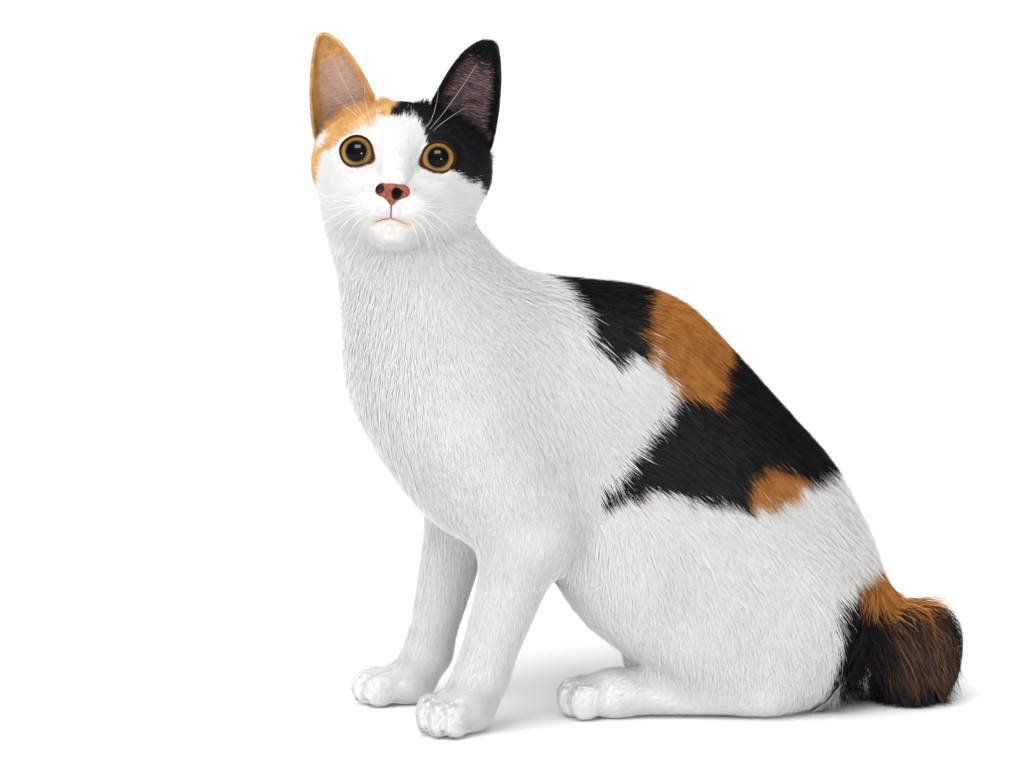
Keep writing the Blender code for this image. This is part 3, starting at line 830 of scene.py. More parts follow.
def marks_at(points):
    """How many mm deep points lie inside the black, the orange and the brown markings."""
    x, y, z = points.T
    left = smooth(-0.012, 0.012, x - np.interp(y, *SPINE))
    flat = y / MILLIMETRE, z / MILLIMETRE
    black = (1 - left) * np.maximum(depth_in(RIGHT_WITHERS_BLACK, *flat), depth_in(RIGHT_SADDLE_BLACK, *flat))
    orange = (1 - left) * depth_in(RIGHT_BACK_ORANGE, *flat)
    nearer = (CAMERA_PLACE[0] - SIDE_PLANE) / (CAMERA_PLACE[0] - x)
    across, up = ((eye + (place - eye) * nearer) / MILLIMETRE for eye, place in zip(CAMERA_PLACE[1:], (y, z)))
    black += left * np.maximum(depth_in(WITHERS_BLACK, across, up), depth_in(SADDLE_BLACK, across, up))
    orange += left * np.maximum(depth_in(BACK_ORANGE, across, up), depth_in(HIP_ORANGE, across, up))

    aside, ahead, rise = in_head(points).T / MILLIMETRE
    behind = np.maximum(CAP_BEHIND - ahead, 0)
    cap_black = np.minimum(rise - np.interp(aside, *BLACK_CAP) + behind, aside - CAP_MIDDLE)
    cap_orange = np.minimum(rise - np.interp(aside, *ORANGE_CAP) + behind, CAP_MIDDLE - aside)
    from_spot = np.hypot(aside - PALE_SPOT[0], rise - PALE_SPOT[1]) - PALE_SPOT[2]
    cap_orange = np.where(ahead > -24, np.minimum(cap_orange, from_spot), cap_orange)
    on_head = z > HEAD_FROM
    black = np.where(on_head, np.minimum(cap_black, rise - BLACK_FOOT), black)
    orange = np.where(on_head, np.minimum(cap_orange, rise - ORANGE_FOOT), orange)

    between = (black > -PATCH_GAP) & (orange > -PATCH_GAP)
    black = np.where(between & (black >= orange), np.maximum(black, PATCH_GAP), black)
    orange = np.where(between & (orange > black), np.maximum(orange, PATCH_GAP), orange)

    on_tail = (z < TAIL_TOP) & (y > TAIL_BACK)
    from_right = (x - POM_RIGHT) / MILLIMETRE
    black = np.where(on_tail, np.minimum(depth_in(POM, across, up), from_right), black)
    orange = np.where(on_tail, np.minimum(depth_in(POM_ORANGE, across, up), from_right), orange)
    brown = np.where(on_tail, depth_in(POM_BROWN, across, up), -30)
    wobble = 1.6 * ripple(points, 0.016, 3) + 0.9 * ripple(points, 0.006, 4)
    return black + wobble, orange + wobble, brown + 4 * ripple(points, 0.012, 5)


# Skin finish
# Pale skin with a dense short undercoat that shows between the tufts, coloured between the fur's root and tip
# colours and so carrying some of the roots' painted shade. It has the coat's markings, is pink in the ears
# and on the lips, and its fine bumps are the undercoat's hairs. The nostrils are painted near black as
# painted shade in their hollows, and the folds between the toes get a pink that also paints their shade.
WHITE_FUR = (0.90, 0.90, 0.90)
# Toward their roots the white hairs are warmer and darker: partly a warm undercoat, partly painted shade
# under the hairs lying over them.
WHITE_ROOT_SHADE = (0.76, 0.74, 0.70)
BLACK_FUR = (0.0028, 0.0026, 0.0030)
# The bluish grey on the tips of the black hairs is a painted sheen, the glint of light on glossy black fur.
BLACK_SHEEN_TIP = (0.042, 0.041, 0.052)
GINGER_BACK = (0.24, 0.070, 0.010)
GINGER_BACK_TIP = (0.60, 0.245, 0.055)
GINGER_HEAD = (0.50, 0.185, 0.030)
GINGER_HEAD_TIP = (0.92, 0.58, 0.24)
GINGER_CLOUDS = 130.0            # scale of the lighter and darker parts of the orange fur
HEAD_START = 0.250               # the back's orange runs into the head's between these heights
HEAD_END = 0.275
BROWN_SHARE = 0.35               # how orange the brown fur is
BARE_PINK = (0.66, 0.42, 0.37)
DARK_PINK = (0.050, 0.017, 0.013)
LIP_BARE = 0.0007                # from the lips' line to where the bare skin ends, and the pink
LIP_PINK = 0.0026
LID_REACH = 0.0007               # from the lids' opening to where their pink skin ends, and their dark edge
LID_EDGE = 0.0005
EARS_SHOW = 0.90                 # how much of the bare skin's colour shows in the ears, on the lips, round the eyes and between the toes, where it also paints the shade in the folds
LIPS_SHOW = 0.60                 # round the eyes and between the toes
LIDS_SHOW = 0.50
TOES_SHOW = 0.45
EAR_DARK = 0.85                  # how dark the skin is in the left ear and round the eyes
LIDS_DARK = 0.55


def attribute_on(mesh, name, values):
    mesh.attributes.new(name, "FLOAT", "POINT").data.foreach_set("value", np.asarray(values, np.float32))


def normals_of(mesh):
    normals = np.empty(len(mesh.vertices) * 3, np.float32)
    mesh.vertices.foreach_get("normal", normals)
    return normals.reshape(-1, 3).astype(float)


def value_on(place, name):
    """What the mesh holds under this name at the place."""
    return place.node("ShaderNodeAttribute", {"attribute_name": name}, output="Fac")


def marked(place, shade, root):
    """White, black and orange fur by the mesh's attributes, at a tuft's shade (a random tone) and from root 0
    to tip 1.
    Toward the root each colour is darker, as painted shade under the hairs lying over it, and some black tips
    get a painted bluish sheen.
    """
    # Painted shade darkens the white toward its roots, and a painted bluish sheen lightens some black tips.
    pale = (root * 0.6 + shade * 0.4).mixed(WHITE_ROOT_SHADE, WHITE_FUR)
    ink = (shade * shade * shade * root).mixed(BLACK_FUR, BLACK_SHEEN_TIP)
    high = place.node("ShaderNodeSeparateXYZ", None, {0: place}, "Z").clipped(HEAD_START, HEAD_END)
    ginger = high.mixed(GINGER_BACK, GINGER_HEAD)
    streak = shade * 0.6 + root * 0.15 + place.noise(GINGER_CLOUDS, 3.0).clipped(0.35, 0.65) * 0.3
    ginger = streak.mixed(ginger, high.mixed(GINGER_BACK_TIP, GINGER_HEAD_TIP))
    fur = value_on(place, "orange").mixed(value_on(place, "black").mixed(pale, ink), ginger)
    bare = value_on(place, "dark").mixed(BARE_PINK, DARK_PINK)
    return value_on(place, "pink").mixed(fur, bare)


def from_nostrils(points):
    """How far points are from the two nostrils' hollows."""
    return np.minimum(*(egg_distance(nostril(side), points) for side in (LEFT, RIGHT)))


def toe_creases(points):
    """How near points are to a fold between two toes of a paw, from 0 to 1."""
    share = np.zeros(len(points))
    for leg in (LEFT_FORELEG, RIGHT_FORELEG, LEFT_HINDLEG, RIGHT_HINDLEG):
        gaps = np.sort([egg_distance(toe, points) for toe in leg[-4:]], axis=0)
        share = np.maximum(share, (1 - smooth(0.0004, 0.0013, gaps[1] - gaps[0])) * (gaps[1] < 0.0025))
    return share


def past_lids(points):
    """How far points near the eyes lie outside the lids' opening; far ones get a large value."""
    nearest = np.full(len(points), 1.0)
    for side in (LEFT, RIGHT):
        local = (points - EYES[side][0]) @ EYES[side][1].T
        here = (local[:, 2] > 0) & (np.linalg.norm(local, axis=1) < 0.015)
        nearest = np.where(here, np.minimum(nearest, past_opening(local)), nearest)
    return nearest


skin_surface, skin_place, skin_shader = new_surface("skin", Roughness=0.8, Specular_IOR_Level=0.06)
grain = skin_place.noise(700.0, 3.0)
# The grain picks between the root and tip colours, so the undercoat carries some of the roots' painted shade.
marked(skin_place, grain, grain).feed(skin_shader, "Base Color")
grain.bump(0.5, 0.0005).feed(skin_shader, "Normal")

points = points_of(skin_mesh)
by_ear = ear_places(points)
black, orange, brown = marks_at(points)
lips = 1 - smooth(LIP_BARE, LIP_PINK, from_lips(points))
# Painted shade: the skin in the nostrils' hollows is made bare and near black.
nostrils = 1 - smooth(0.0, 0.0006, from_nostrils(points))
lids = 1 - smooth(LID_REACH / 2, LID_REACH, past_lids(points))
lid_edge = 1 - smooth(0, LID_EDGE, past_lids(points))
lids_bare = np.maximum(LIDS_SHOW * lids, lid_edge) * (1 - 0.9 * smooth(-1, 1, black))
# Between the toes the bare skin's pink also darkens the folds: partly skin, partly painted shade.
creases = TOES_SHOW * toe_creases(points)
bare_skin = [EARS_SHOW * bare_ear(by_ear), LIPS_SHOW * lips, nostrils, lids_bare, creases]
dark_skin_and_shade = [EAR_DARK * (by_ear[:, 0] == LEFT), nostrils, LIDS_DARK * lids, lid_edge]
attribute_on(skin_mesh, "black", smooth(-1, 1, black))
attribute_on(skin_mesh, "orange", np.maximum(smooth(-1, 1, orange), BROWN_SHARE * smooth(-2, 2, brown)))
attribute_on(skin_mesh, "pink", np.maximum.reduce(bare_skin))
attribute_on(skin_mesh, "dark", np.maximum.reduce(dark_skin_and_shade))
skin_mesh.shade_smooth()
skin_mesh.materials.clear()
skin = put_in_scene("skin", skin_mesh, skin_surface)
bpy.context.view_layer.objects.active = skin
skin.select_set(True)
bpy.ops.object.mode_set(mode="EDIT")
bpy.ops.mesh.select_all(action="SELECT")
bpy.ops.uv.smart_project(angle_limit=radians(66), island_margin=0.001)
bpy.ops.object.mode_set(mode="OBJECT")
skin_mesh.uv_layers.active.name = "OFBake"
flesh_nodes = [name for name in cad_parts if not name.startswith("eye_")]
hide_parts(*flesh_nodes)
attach(skin, "root")


# Eyes
# Round wide-open amber eyes with large pupils. Each is a ball with a slightly raised clear front, with a
# wet dark rim of bare skin round it between the lids.
PUPIL = 0.0052
IRIS = 0.0083
CORNEA_RISE = 0.0006
RIM_WIDTH = 0.00085
RIM_UPPER = 0.35                 # how much wider the rim is over the eye, and narrower under it
RIM_RISE = 0.0001
AMBER = (0.24, 0.115, 0.022)
GOLD = (0.38, 0.23, 0.060)
IRIS_EDGE = (0.10, 0.035, 0.008)
PUPIL_EDGE = (0.05, 0.055, 0.018)
PUPIL_BLACK = (0.002, 0.002, 0.003)
LID_SKIN = (0.022, 0.006, 0.003)

eye_surface, eye_place, eye_shader = new_surface(
    "eye", Roughness=0.5, Coat_Weight=1.0, Coat_Roughness=0.01, Coat_IOR=1.18, Specular_IOR_Level=0.03)
gaze = [value_on(eye_place, name) for name in ("gaze_x", "gaze_y")]
flat_place = eye_place.node("ShaderNodeCombineXYZ", None, {0: gaze[0], 1: gaze[1]})
reach = flat_place.node("ShaderNodeVectorMath", {"operation": "LENGTH"}, {0: flat_place}, "Value")
ray = flat_place.node("ShaderNodeVectorMath", {"operation": "NORMALIZE"}, {0: flat_place})
fibres = ray.stretched((6.0, 6.0, 0.0)).noise(2.2, 4.0, 0.65)
clouds = flat_place.noise(330.0, 2.0)
# Painted light: the iris is painted more golden low down, where light coming in through the clear front falls
# on it.
refracted_light_below = gaze[1].clipped(0.006, -0.006)
iris = (fibres * 0.6 + clouds * 0.25 + refracted_light_below * 0.3).clipped(0.3, 0.85).mixed(AMBER, GOLD)
iris = reach.clipped(PUPIL + 0.0014, PUPIL).mixed(iris, PUPIL_EDGE)
iris = reach.clipped(IRIS - 0.0010, IRIS + 0.0002).mixed(iris, IRIS_EDGE)
pupil = (reach + fibres * 0.0002).clipped(PUPIL + 0.0003, PUPIL)
pupil.mixed(iris, PUPIL_BLACK).feed(eye_shader, "Base Color")

rim_surface, rim_place, rim_shader = new_surface("lid_skin", Roughness=0.6, Specular_IOR_Level=0.04)
rim_place.noise(900.0).mixed(LID_SKIN, tuple(1.7 * part for part in LID_SKIN)).feed(rim_shader, "Base Color")


def make_eye(side):
    word = "left" if side == LEFT else "right"
    middle, axes = EYES[side]
    turn = Matrix(axes.T).to_4x4()
    if turn.determinant() < 0:
        turn = Matrix((axes * np.array([[-1], [1], [1]])).T).to_4x4()
    ball = bmesh.new()
    bmesh.ops.create_uvsphere(ball, u_segments=72, v_segments=48, radius=EYEBALL)
    for vertex in ball.verts:
        aside = Vector((vertex.co.x, vertex.co.y)).length
        if vertex.co.z > 0 and aside < IRIS:
            vertex.co.z += CORNEA_RISE * (1 - (aside / IRIS) ** 2)
    flat = np.array([vertex.co[:] for vertex in ball.verts])
    bmesh.ops.transform(ball, matrix=Matrix.Translation(middle) @ turn, verts=ball.verts)
    mesh = mesh_from(ball, f"eyeball_{word}")
    attribute_on(mesh, "gaze_x", flat[:, 0])
    attribute_on(mesh, "gaze_y", flat[:, 1])
    mesh.shade_smooth()
    eyeball = put_in_scene(f"eyeball_{word}", mesh, eye_surface)
    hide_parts(f"eye_{word}")
    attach(eyeball, "root")
    rim = bmesh.new()
    bmesh.ops.create_circle(rim, segments=10, radius=RIM_WIDTH, matrix=Matrix.Translation((1, 0, 0)))
    bmesh.ops.spin(rim, geom=rim.verts[:] + rim.edges[:], cent=(0, 0, 0), axis=(0, 1, 0), angle=2 * pi,
                   steps=96, use_merge=True)
    for vertex in rim.verts:
        angle = np.arctan2(-vertex.co.z, vertex.co.x)
        out = np.hypot(vertex.co.x, vertex.co.z) - 1
        across = opening_radius(angle) + out * (1 + RIM_UPPER * sin(angle))
        level = EYEBALL + RIM_RISE + vertex.co.y
        place = np.array([cos(angle) * across, sin(angle) * across, 0])
        place[2] = np.sqrt(max(level ** 2 - across ** 2, 0)) if across < level else 0
        vertex.co = middle + place @ axes
    bmesh.ops.recalc_face_normals(rim, faces=rim.faces)
    mesh = mesh_from(rim, f"lid_rim_{word}")
    mesh.shade_smooth()
    lid_rim = put_in_scene(f"lid_rim_{word}", mesh, rim_surface)
    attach(lid_rim, "root")


for side in (LEFT, RIGHT):
    make_eye(side)


# Nose
# The nose leather is bare, damp and pebbled, brick pink, with its nostrils and the left one's slit painted
# near black as painted shade in their hollows. It is three rounded forms run together, with the nostrils, the
# left one's slit and the top of the groove carved out of them.
NOSE_STEP = 0.00035
NOSE_PINK = (0.36, 0.095, 0.060)
NOSE_HOLLOW_SHADE = (0.012, 0.003, 0.003)
WING_SLIT = ((0.0040, 0.0262, -0.0206), (0.0066, 0.0250, -0.0194), 0.0010, 0.0003)
GROOVE_TOP = ((0, 0.0272, -0.0248), (0, 0.0252, -0.0268), 0.0004, 0.0004)
PEBBLES = 2600.0                 # scale of the leather's grain

NOSE = [
    head_egg((0, 0.0226, -0.0190), (0.0060, 0.0056, 0.0036), 0.002, 0),
    limb((0, 0.0248, -0.0200), (0, 0.0236, -0.0256), 0.0030, 0.0012, 0.002, 0, HEAD_PLACE),
]
for side in (LEFT, RIGHT):
    NOSE.append(head_egg((side * 0.0052, 0.0216, -0.0195), (0.0036, 0.0050, 0.0031), 0.002, 0))
    wing = ((side * 0.0060, 0.0228, -0.0205), (0, 0.0240, -0.0248), 0.0020, 0.0014)
    NOSE.append(limb(*wing, 0.002, 0, HEAD_PLACE))

nose_mesh = joined_forms(NOSE)
DARK_HOLLOWS = [carved(nostril(LEFT)), carved(nostril(RIGHT)),
                carved(limb(*WING_SLIT, 0.0008, 0, HEAD_PLACE))]
NOSE += DARK_HOLLOWS + [carved(limb(*GROOVE_TOP, 0.0006, 0, HEAD_PLACE))]
for rounds in (6, 4):
    nose_mesh = remeshed(nose_mesh, NOSE_STEP)
    set_points(nose_mesh, laid_on(points_of(nose_mesh), NOSE, rounds, 0.0006))
points = points_of(nose_mesh)
# Painted shade: the nose is painted near black down in the nostrils' and the slit's shallow hollows.
hollow = np.zeros(len(points))
for form in DARK_HOLLOWS:
    hollow = np.maximum(hollow, 1 - smooth(0.0, 0.0007, form_distance(form, points)))
attribute_on(nose_mesh, "dark", hollow)
nose_surface, nose_place, nose_shader = new_surface("nose_leather", Roughness=0.45, Specular_IOR_Level=0.2)
pebbles = nose_place.node("ShaderNodeTexVoronoi", None, {"Vector": nose_place, "Scale": PEBBLES}, "Distance")
mottle = nose_place.noise(450.0, 3.0)
shaded_hollow = value_on(nose_place, "dark")
leather = mottle.clipped(0.38, 0.66).mixed(NOSE_PINK, tuple(0.60 * part for part in NOSE_PINK))
shaded_hollow.mixed(leather, NOSE_HOLLOW_SHADE).feed(nose_shader, "Base Color")
(shaded_hollow * 0.5 + 0.45).feed(nose_shader, "Roughness")
pebbles.bump(0.35, 0.00015).feed(nose_shader, "Normal")
nose_mesh.shade_smooth()
nose = put_in_scene("nose", nose_mesh, nose_surface)
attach(nose, "root")


# Coat
# Short close fur, a little longer on the neck, flanks and thighs. It is made of thousands of thin closed
# tufts rooted in the skin, which lie along the body and overlap, and end where the solids end.
GUIDES = (
    ((0.045, -0.095, 0.235), (-0.1, 0.7, -0.5)), ((0.020, 0.000, 0.190), (-0.1, 0.75, -0.65)),
    ((0.005, 0.090, 0.100), (0, 0.45, -0.9)), ((0.085, -0.090, 0.170), (0, 0.30, -0.95)),
    ((0.070, 0.000, 0.140), (0, 0.75, -0.65)), ((0.080, 0.040, 0.090), (0, 0.50, -0.85)),
    ((0.072, 0.070, 0.040), (0, 0.35, -0.9)), ((0.060, -0.035, 0.085), (0, 0.0, -1)),
    ((0.058, 0.000, 0.030), (0, 0.30, -0.9)), ((-0.010, -0.080, 0.170), (0, 0.35, -0.93)),
    ((-0.040, 0.000, 0.130), (0, 0.75, -0.65)), ((-0.080, 0.050, 0.090), (0, 0.50, -0.85)),
    ((-0.060, -0.020, 0.085), (0, 0.0, -1)), ((0.065, -0.155, 0.190), (0, 0.05, -1)),
    ((0.055, -0.130, 0.130), (0, 0.25, -1)), ((0.080, -0.140, 0.245), (0.1, -0.05, -1)),
    ((0.050, -0.095, 0.255), (0, 0.45, -0.85)), ((0.020, -0.140, 0.260), (-0.3, 0.0, -0.9)),
    ((0.045, -0.170, 0.250), (0, -0.1, -1)), ((0.078, -0.068, 0.108), (0, -0.1, -1)),
    ((0.082, -0.090, 0.050), (0, -0.1, -1)), ((0.088, -0.108, 0.014), (0.5, -0.6, -0.5)),
    ((0.010, -0.105, 0.100), (0, -0.05, -1)), ((0.020, -0.120, 0.045), (0, -0.1, -1)),
    ((0.021, -0.145, 0.014), (0.1, -0.8, -0.5)), ((0.050, 0.060, 0.020), (0, -0.4, -0.9)),
    ((0.050, -0.005, 0.014), (0, -0.95, -0.3)), ((-0.050, 0.098, 0.020), (0, -0.4, -0.9)),
    ((-0.050, 0.033, 0.014), (0, -0.95, -0.3)), ((0.020, -0.020, 0.055), (0, 0.8, -0.5)),
    ((0.010, 0.105, 0.070), (0, 0.85, -0.5)),
)
NOSE_TIP = (0, 0.026, -0.016)
COAT_STAND = 0.80                # share of the coat's depth that the tips stand above the skin
COAT_REGIONS = {                 # tufts on each square mm, length, width
    "trunk": (1.18, 0.0120, 0.00056),
    "neck": (1.50, 0.0095, 0.00048),
    "leg": (1.80, 0.0072, 0.00045),
    "paw": (3.00, 0.0048, 0.00034),
    "head": (2.60, 0.0062, 0.00036),
    "face": (4.20, 0.0031, 0.00027),
    "ear": (3.00, 0.0036, 0.00030),
    "ear_cup": (1.10, 0.0075, 0.00020),
}
REGION_NAMES = list(COAT_REGIONS)
TRUNK_FUR, NECK_FUR, LEG_FUR, PAW_FUR, HEAD_FUR, FACE_FUR, EAR_FUR, CUP_FUR = range(len(REGION_NAMES))
BARE_FROM = 0.15                 # skin this bare counts as the inside of the ear's cup
EVEN_ROUNDS = 14                 # how often neighbours are averaged, so that one region runs into the next
PIECE_TUFTS = 45000
PATCH = 0.003
JITTER = 0.13
LENGTH_RANGE = (0.75, 1.15)      # shares of a region's length, width and stand that its hairs have
WIDTH_RANGE = (0.8, 1.25)
STAND_RANGE = (0.45, 1.0)
CUP_STAND = 0.0016               # how far hairs stand in the ear's cup and on the rest of the ear
EAR_STAND = 0.0007
SOLE_HEIGHT = 0.0025             # no fur grows lower than this
EDGE_SCATTER = 1.5               # how many mm hairs stray over a patch's edge, and on the pom
POM_SCATTER = 2.5
PALE_LEFT, PALE_RIGHT = 0.5, 0.7  # share of pale hairs in each ear's cup
LONG_SHARE = 0.03                # share of hairs that break the outline, and how much longer they are
LONG_TIMES = 1.6
SHORTEST = 0.0004
STRAND_ROUND = 0.75              # how far a tuft's shading turns from the skin's toward its own sides
EAR_FOOT_TIMES = 1.3             # how much longer the hairs over the ear's foot are, and how far they stand
EAR_FOOT_STAND = 0.0060
EAR_FOOT = 0.05                  # the foot's place, as a share of the ear's height
POM_HAIRS = 9500
BROWN_SHARES = (0.02, 0.11, 0.28)  # how orange the brown parts' hairs are, and how many of each
BROWN_ODDS = (0.35, 0.40, 0.25)
POM_HAIR = 0.026
POM_HAIR_WIDTH = 0.00046
POM_ROOTS = 3.0                  # places for hairs on each square mm, before POM_HAIRS of them are kept
POM_LIFT = 0.60                  # how far the hairs stand off the tail, stray, curl and hang down
POM_STRAY = 0.12
POM_CURL = 0.22
POM_WAVE = 0.010
POM_DROP = np.array([0, 0.10, -0.60])
POM_TOP = 0.055                  # above this height the hairs are shorter, by this share
POM_TOP_SHARE = 0.55
POM_ROOT = BODY_PLACE[0] + (0.0090, 0.1040, 0.066)


def lie_of_coat(points, normals, by_ear):
    """The way the hairs lie at points: along the body, away from the nose on the head, and up the ears."""
    total = np.zeros_like(points)
    for place, way in GUIDES:
        gap = np.linalg.norm(points - BODY_PLACE[0] - place, axis=1)
        total += unit(way) * (1 / (gap + 0.008) ** 4)[:, None]
    on_head = 1 - smooth(0.044, 0.064, np.linalg.norm(in_head(points) - (0, -0.012, -0.006), axis=1))
    from_nose = unit(points - head_point(*NOSE_TIP)) + 0.15 * unit(np.array([0, -1.0, -0.4]) @ HEAD_PLACE[1])
    way = unit(total) * (1 - on_head)[:, None] + from_nose * on_head[:, None]
    bare = bare_ear(by_ear) > BARE_FROM
    for number in np.flatnonzero(by_ear[:, 0]):
        side, around, height, _ = by_ear[number]
        step = 0.03
        rise = ear_point(side, around, min(height, 0.95) + step) - ear_point(side, around, min(height, 0.95))
        across = ear_point(side, min(around, 0.9) + step, height) - ear_point(side, min(around, 0.9), height)
        if bare[number]:
            way[number] = unit(across) + 0.35 * unit(rise)
        else:
            way[number] = unit(rise) + 0.3 * np.sign(around) * (1 - 4 * height ** 8) * unit(across)
    way += 0.10 * np.stack([ripple(points, 0.03, seed) for seed in (11, 12, 13)], 1)
    way -= (way * normals).sum(1)[:, None] * normals
    return unit(way)


def region_at(points, by_ear):
    """Which of COAT_REGIONS each point belongs to."""
    local = in_head(points)
    body = distance(BODY, points)
    head = distance(HEAD, points)
    found = np.where((points[:, 2] > 0.205) & (points[:, 1] < -0.05), NECK_FUR, TRUNK_FUR)
    legs = distance(LEFT_FORELEG + RIGHT_FORELEG, points) < 0.002
    feet = distance(LEFT_HINDLEG[4:] + RIGHT_HINDLEG[4:], points) < 0.001
    found[legs & (points[:, 2] < 0.125)] = LEG_FUR
    found[(legs & (points[:, 2] < 0.030)) | (feet & (points[:, 2] < 0.028))] = PAW_FUR
    found[head < body - 0.001] = HEAD_FUR
    found[(head < body - 0.001) & (local[:, 1] > -0.008)] = FACE_FUR
    found[by_ear[:, 0] != 0] = EAR_FUR
    found[bare_ear(by_ear) > BARE_FROM] = CUP_FUR
    return found


def evened(mesh, table, free):
    """Each free vertex's row averaged a few times with its neighbours' rows."""
    pairs = np.empty(len(mesh.edges) * 2, np.int32)
    mesh.edges.foreach_get("vertices", pairs)
    first, second = pairs.reshape(-1, 2).T
    count = len(table)
    degree = np.bincount(pairs, minlength=count) + 1
    for _ in range(EVEN_ROUNDS):
        for column in table.T:
            total = column + np.bincount(first, column[second], count)
            total += np.bincount(second, column[first], count)
            column[free] = (total / degree)[free]
    return table


def sampled(mesh, densities, table, random):
    """Random roots on the triangles at their own density: place, normal, map place and row of the table."""
    mesh.calc_loop_triangles()
    count = len(mesh.loop_triangles)
    corners = np.empty(count * 3, np.int32)
    loops = np.empty(count * 3, np.int32)
    mesh.loop_triangles.foreach_get("vertices", corners)
    mesh.loop_triangles.foreach_get("loops", loops)
    corners, loops = corners.reshape(-1, 3), loops.reshape(-1, 3)
    where = points_of(mesh)[corners]
    areas = np.linalg.norm(np.cross(where[:, 1] - where[:, 0], where[:, 2] - where[:, 0]), axis=1) / 2
    wanted = areas * densities[corners].mean(1) / MILLIMETRE ** 2
    copies = np.floor(wanted + random.random(count)).astype(int)
    chosen = np.repeat(np.arange(count), copies)
    shares = random.random((len(chosen), 2))
    over = shares.sum(1) > 1
    shares[over] = 1 - shares[over]
    weights = np.column_stack([1 - shares.sum(1), shares])[:, :, None]
    map_places = np.empty(len(mesh.loops) * 2, np.float32)
    mesh.uv_layers["OFBake"].data.foreach_get("uv", map_places)
    map_places = map_places.reshape(-1, 2).astype(float)
    places = (where[chosen] * weights).sum(1)
    normals = unit((normals_of(mesh)[corners[chosen]] * weights).sum(1))
    map_spots = (map_places[loops[chosen]] * weights).sum(1)
    rows = (table[corners[chosen]] * weights).sum(1)
    return places, normals, map_spots, rows, corners[chosen, 0]


def tuft_mesh(name, spines, sides, tops, widths, marks, map_places):
    """One closed mesh of tufts. spines holds each tuft's points from root to tip, the rest one row a tuft."""
    count, rings = len(spines), spines.shape[1] - 1
    each = 3 * rings + 1
    vertices = np.empty((count, each, 3))
    shading = np.empty((count, each, 3))
    for ring in range(rings):
        half = widths[:, None] * (0.5 if ring else 0.45) * (1 - 0.5 * ring / rings)
        for corner, aside, above in ((0, -1, 0), (1, 1, 0), (2, 0, 0.8)):
            vertices[:, 3 * ring + corner] = spines[:, ring] + (sides * aside + tops * above) * half
            shading[:, 3 * ring + corner] = unit(tops + STRAND_ROUND * aside * sides)
    vertices[:, -1] = spines[:, -1]
    shading[:, -1] = tops
    faces = [(0, 2, 1)]
    for ring in range(rings):
        low = 3 * ring
        for first, second in ((0, 1), (1, 2), (2, 0)):
            if ring == rings - 1:
                faces.append((low + first, low + second, each - 1))
            else:
                faces.append((low + first, low + second, low + second + 3))
                faces.append((low + first, low + second + 3, low + first + 3))
    faces = (np.array(faces)[None] + each * np.arange(count)[:, None, None]).reshape(-1)
    mesh = bpy.data.meshes.new(name)
    mesh.vertices.add(count * each)
    mesh.vertices.foreach_set("co", vertices.astype(np.float32).ravel())
    mesh.loops.add(len(faces))
    mesh.loops.foreach_set("vertex_index", faces.astype(np.int32))
    mesh.polygons.add(len(faces) // 3)
    mesh.polygons.foreach_set("loop_start", np.arange(0, len(faces), 3, dtype=np.int32))
    mesh.update(calc_edges=True)
    mesh.shade_smooth()
    mesh.normals_split_custom_set_from_vertices(shading.reshape(-1, 3))
    along = np.append(np.repeat(np.arange(rings) / rings, 3), 1.0)
    attribute_on(mesh, "along", np.tile(along, count))
    for mark, values in marks.items():
        attribute_on(mesh, mark, np.repeat(values, each))
    patch = np.column_stack([np.append(np.tile([-0.5, 0.5, 0.0], rings), 0.0), along - 0.5]) * PATCH
    spread = (map_places[:, None] + patch[None]).reshape(-1, 2)
    mesh.uv_layers.new(name="OFBake").data.foreach_set("uv", spread[faces].astype(np.float32).ravel())
    return mesh


def lying_spines(roots, normals, ways, lengths, stands, held):
    """Buried root and tip of each tuft, the tip held at the given height over the skin."""
    tips = roots + ways * lengths[:, None] + normals * stands[:, None]
    level = distance(FLESH, tips[held])
    slope = slope_of(FLESH, tips[held], level)
    tips[held] += slope * np.clip(stands[held] - level, -0.006, 0.006)[:, None]
    tips[:, 2] = np.maximum(tips[:, 2], 2 * FLOOR_GAP)
    return np.stack([roots - normals * 0.0003, tips], 1)


def add_coat(name, slot, *tufts):
    mesh = tuft_mesh(name, *tufts)
    coat = put_in_scene(name, mesh, coat_surface)
    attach(coat, "root")


coat_surface, coat_place, coat_shader = new_surface("coat", Roughness=0.60, Specular_IOR_Level=0.12)
shade, along = (value_on(coat_place, name) for name in ("shade", "along"))
marked(coat_place, shade, along).feed(coat_shader, "Base Color")

random = np.random.default_rng(7)
points = points_of(skin_mesh)
by_ear = ear_places(points)
region = region_at(points, by_ear)
tables = evened(skin_mesh, np.array([COAT_REGIONS[name] for name in REGION_NAMES])[region], by_ear[:, 0] == 0)
densities = tables[:, 0].copy()
densities[points[:, 2] < SOLE_HEIGHT] = 0
on_pom = (distance(TAIL, points) < 0.0015) & (distance(TORSO, points) > 0.0015)
densities[on_pom] = 0
densities[past_lids(points) < 0.7 * LID_REACH] = 0
densities[distance(NOSE, points) < 0.0002] = 0
densities *= 0.6 + 0.4 * smooth(LIP_BARE, LIP_PINK, from_lips(points))
densities[from_lips(points) < LIP_BARE] = 0
roots, normals, map_places, table, corner = sampled(skin_mesh, densities, tables, random)
by_ear = ear_places(roots)
region = region[corner]
ways = lie_of_coat(roots, normals, by_ear)
count = len(roots)
ways = unit(ways + np.cross(normals, ways) * random.normal(0, JITTER, count)[:, None])
depth = np.clip(-distance(FLESH, roots, False), 0.0004, 0.006)
long_hair = np.where(random.random(count) < LONG_SHARE, LONG_TIMES, 1)
lengths = table[:, 1] * random.uniform(*LENGTH_RANGE, count) * long_hair
widths = table[:, 2] * random.uniform(*WIDTH_RANGE, count)
stands = COAT_STAND * depth * random.uniform(*STAND_RANGE, count) * long_hair
in_ear = by_ear[:, 0] != 0
in_cup = bare_ear(by_ear) > BARE_FROM
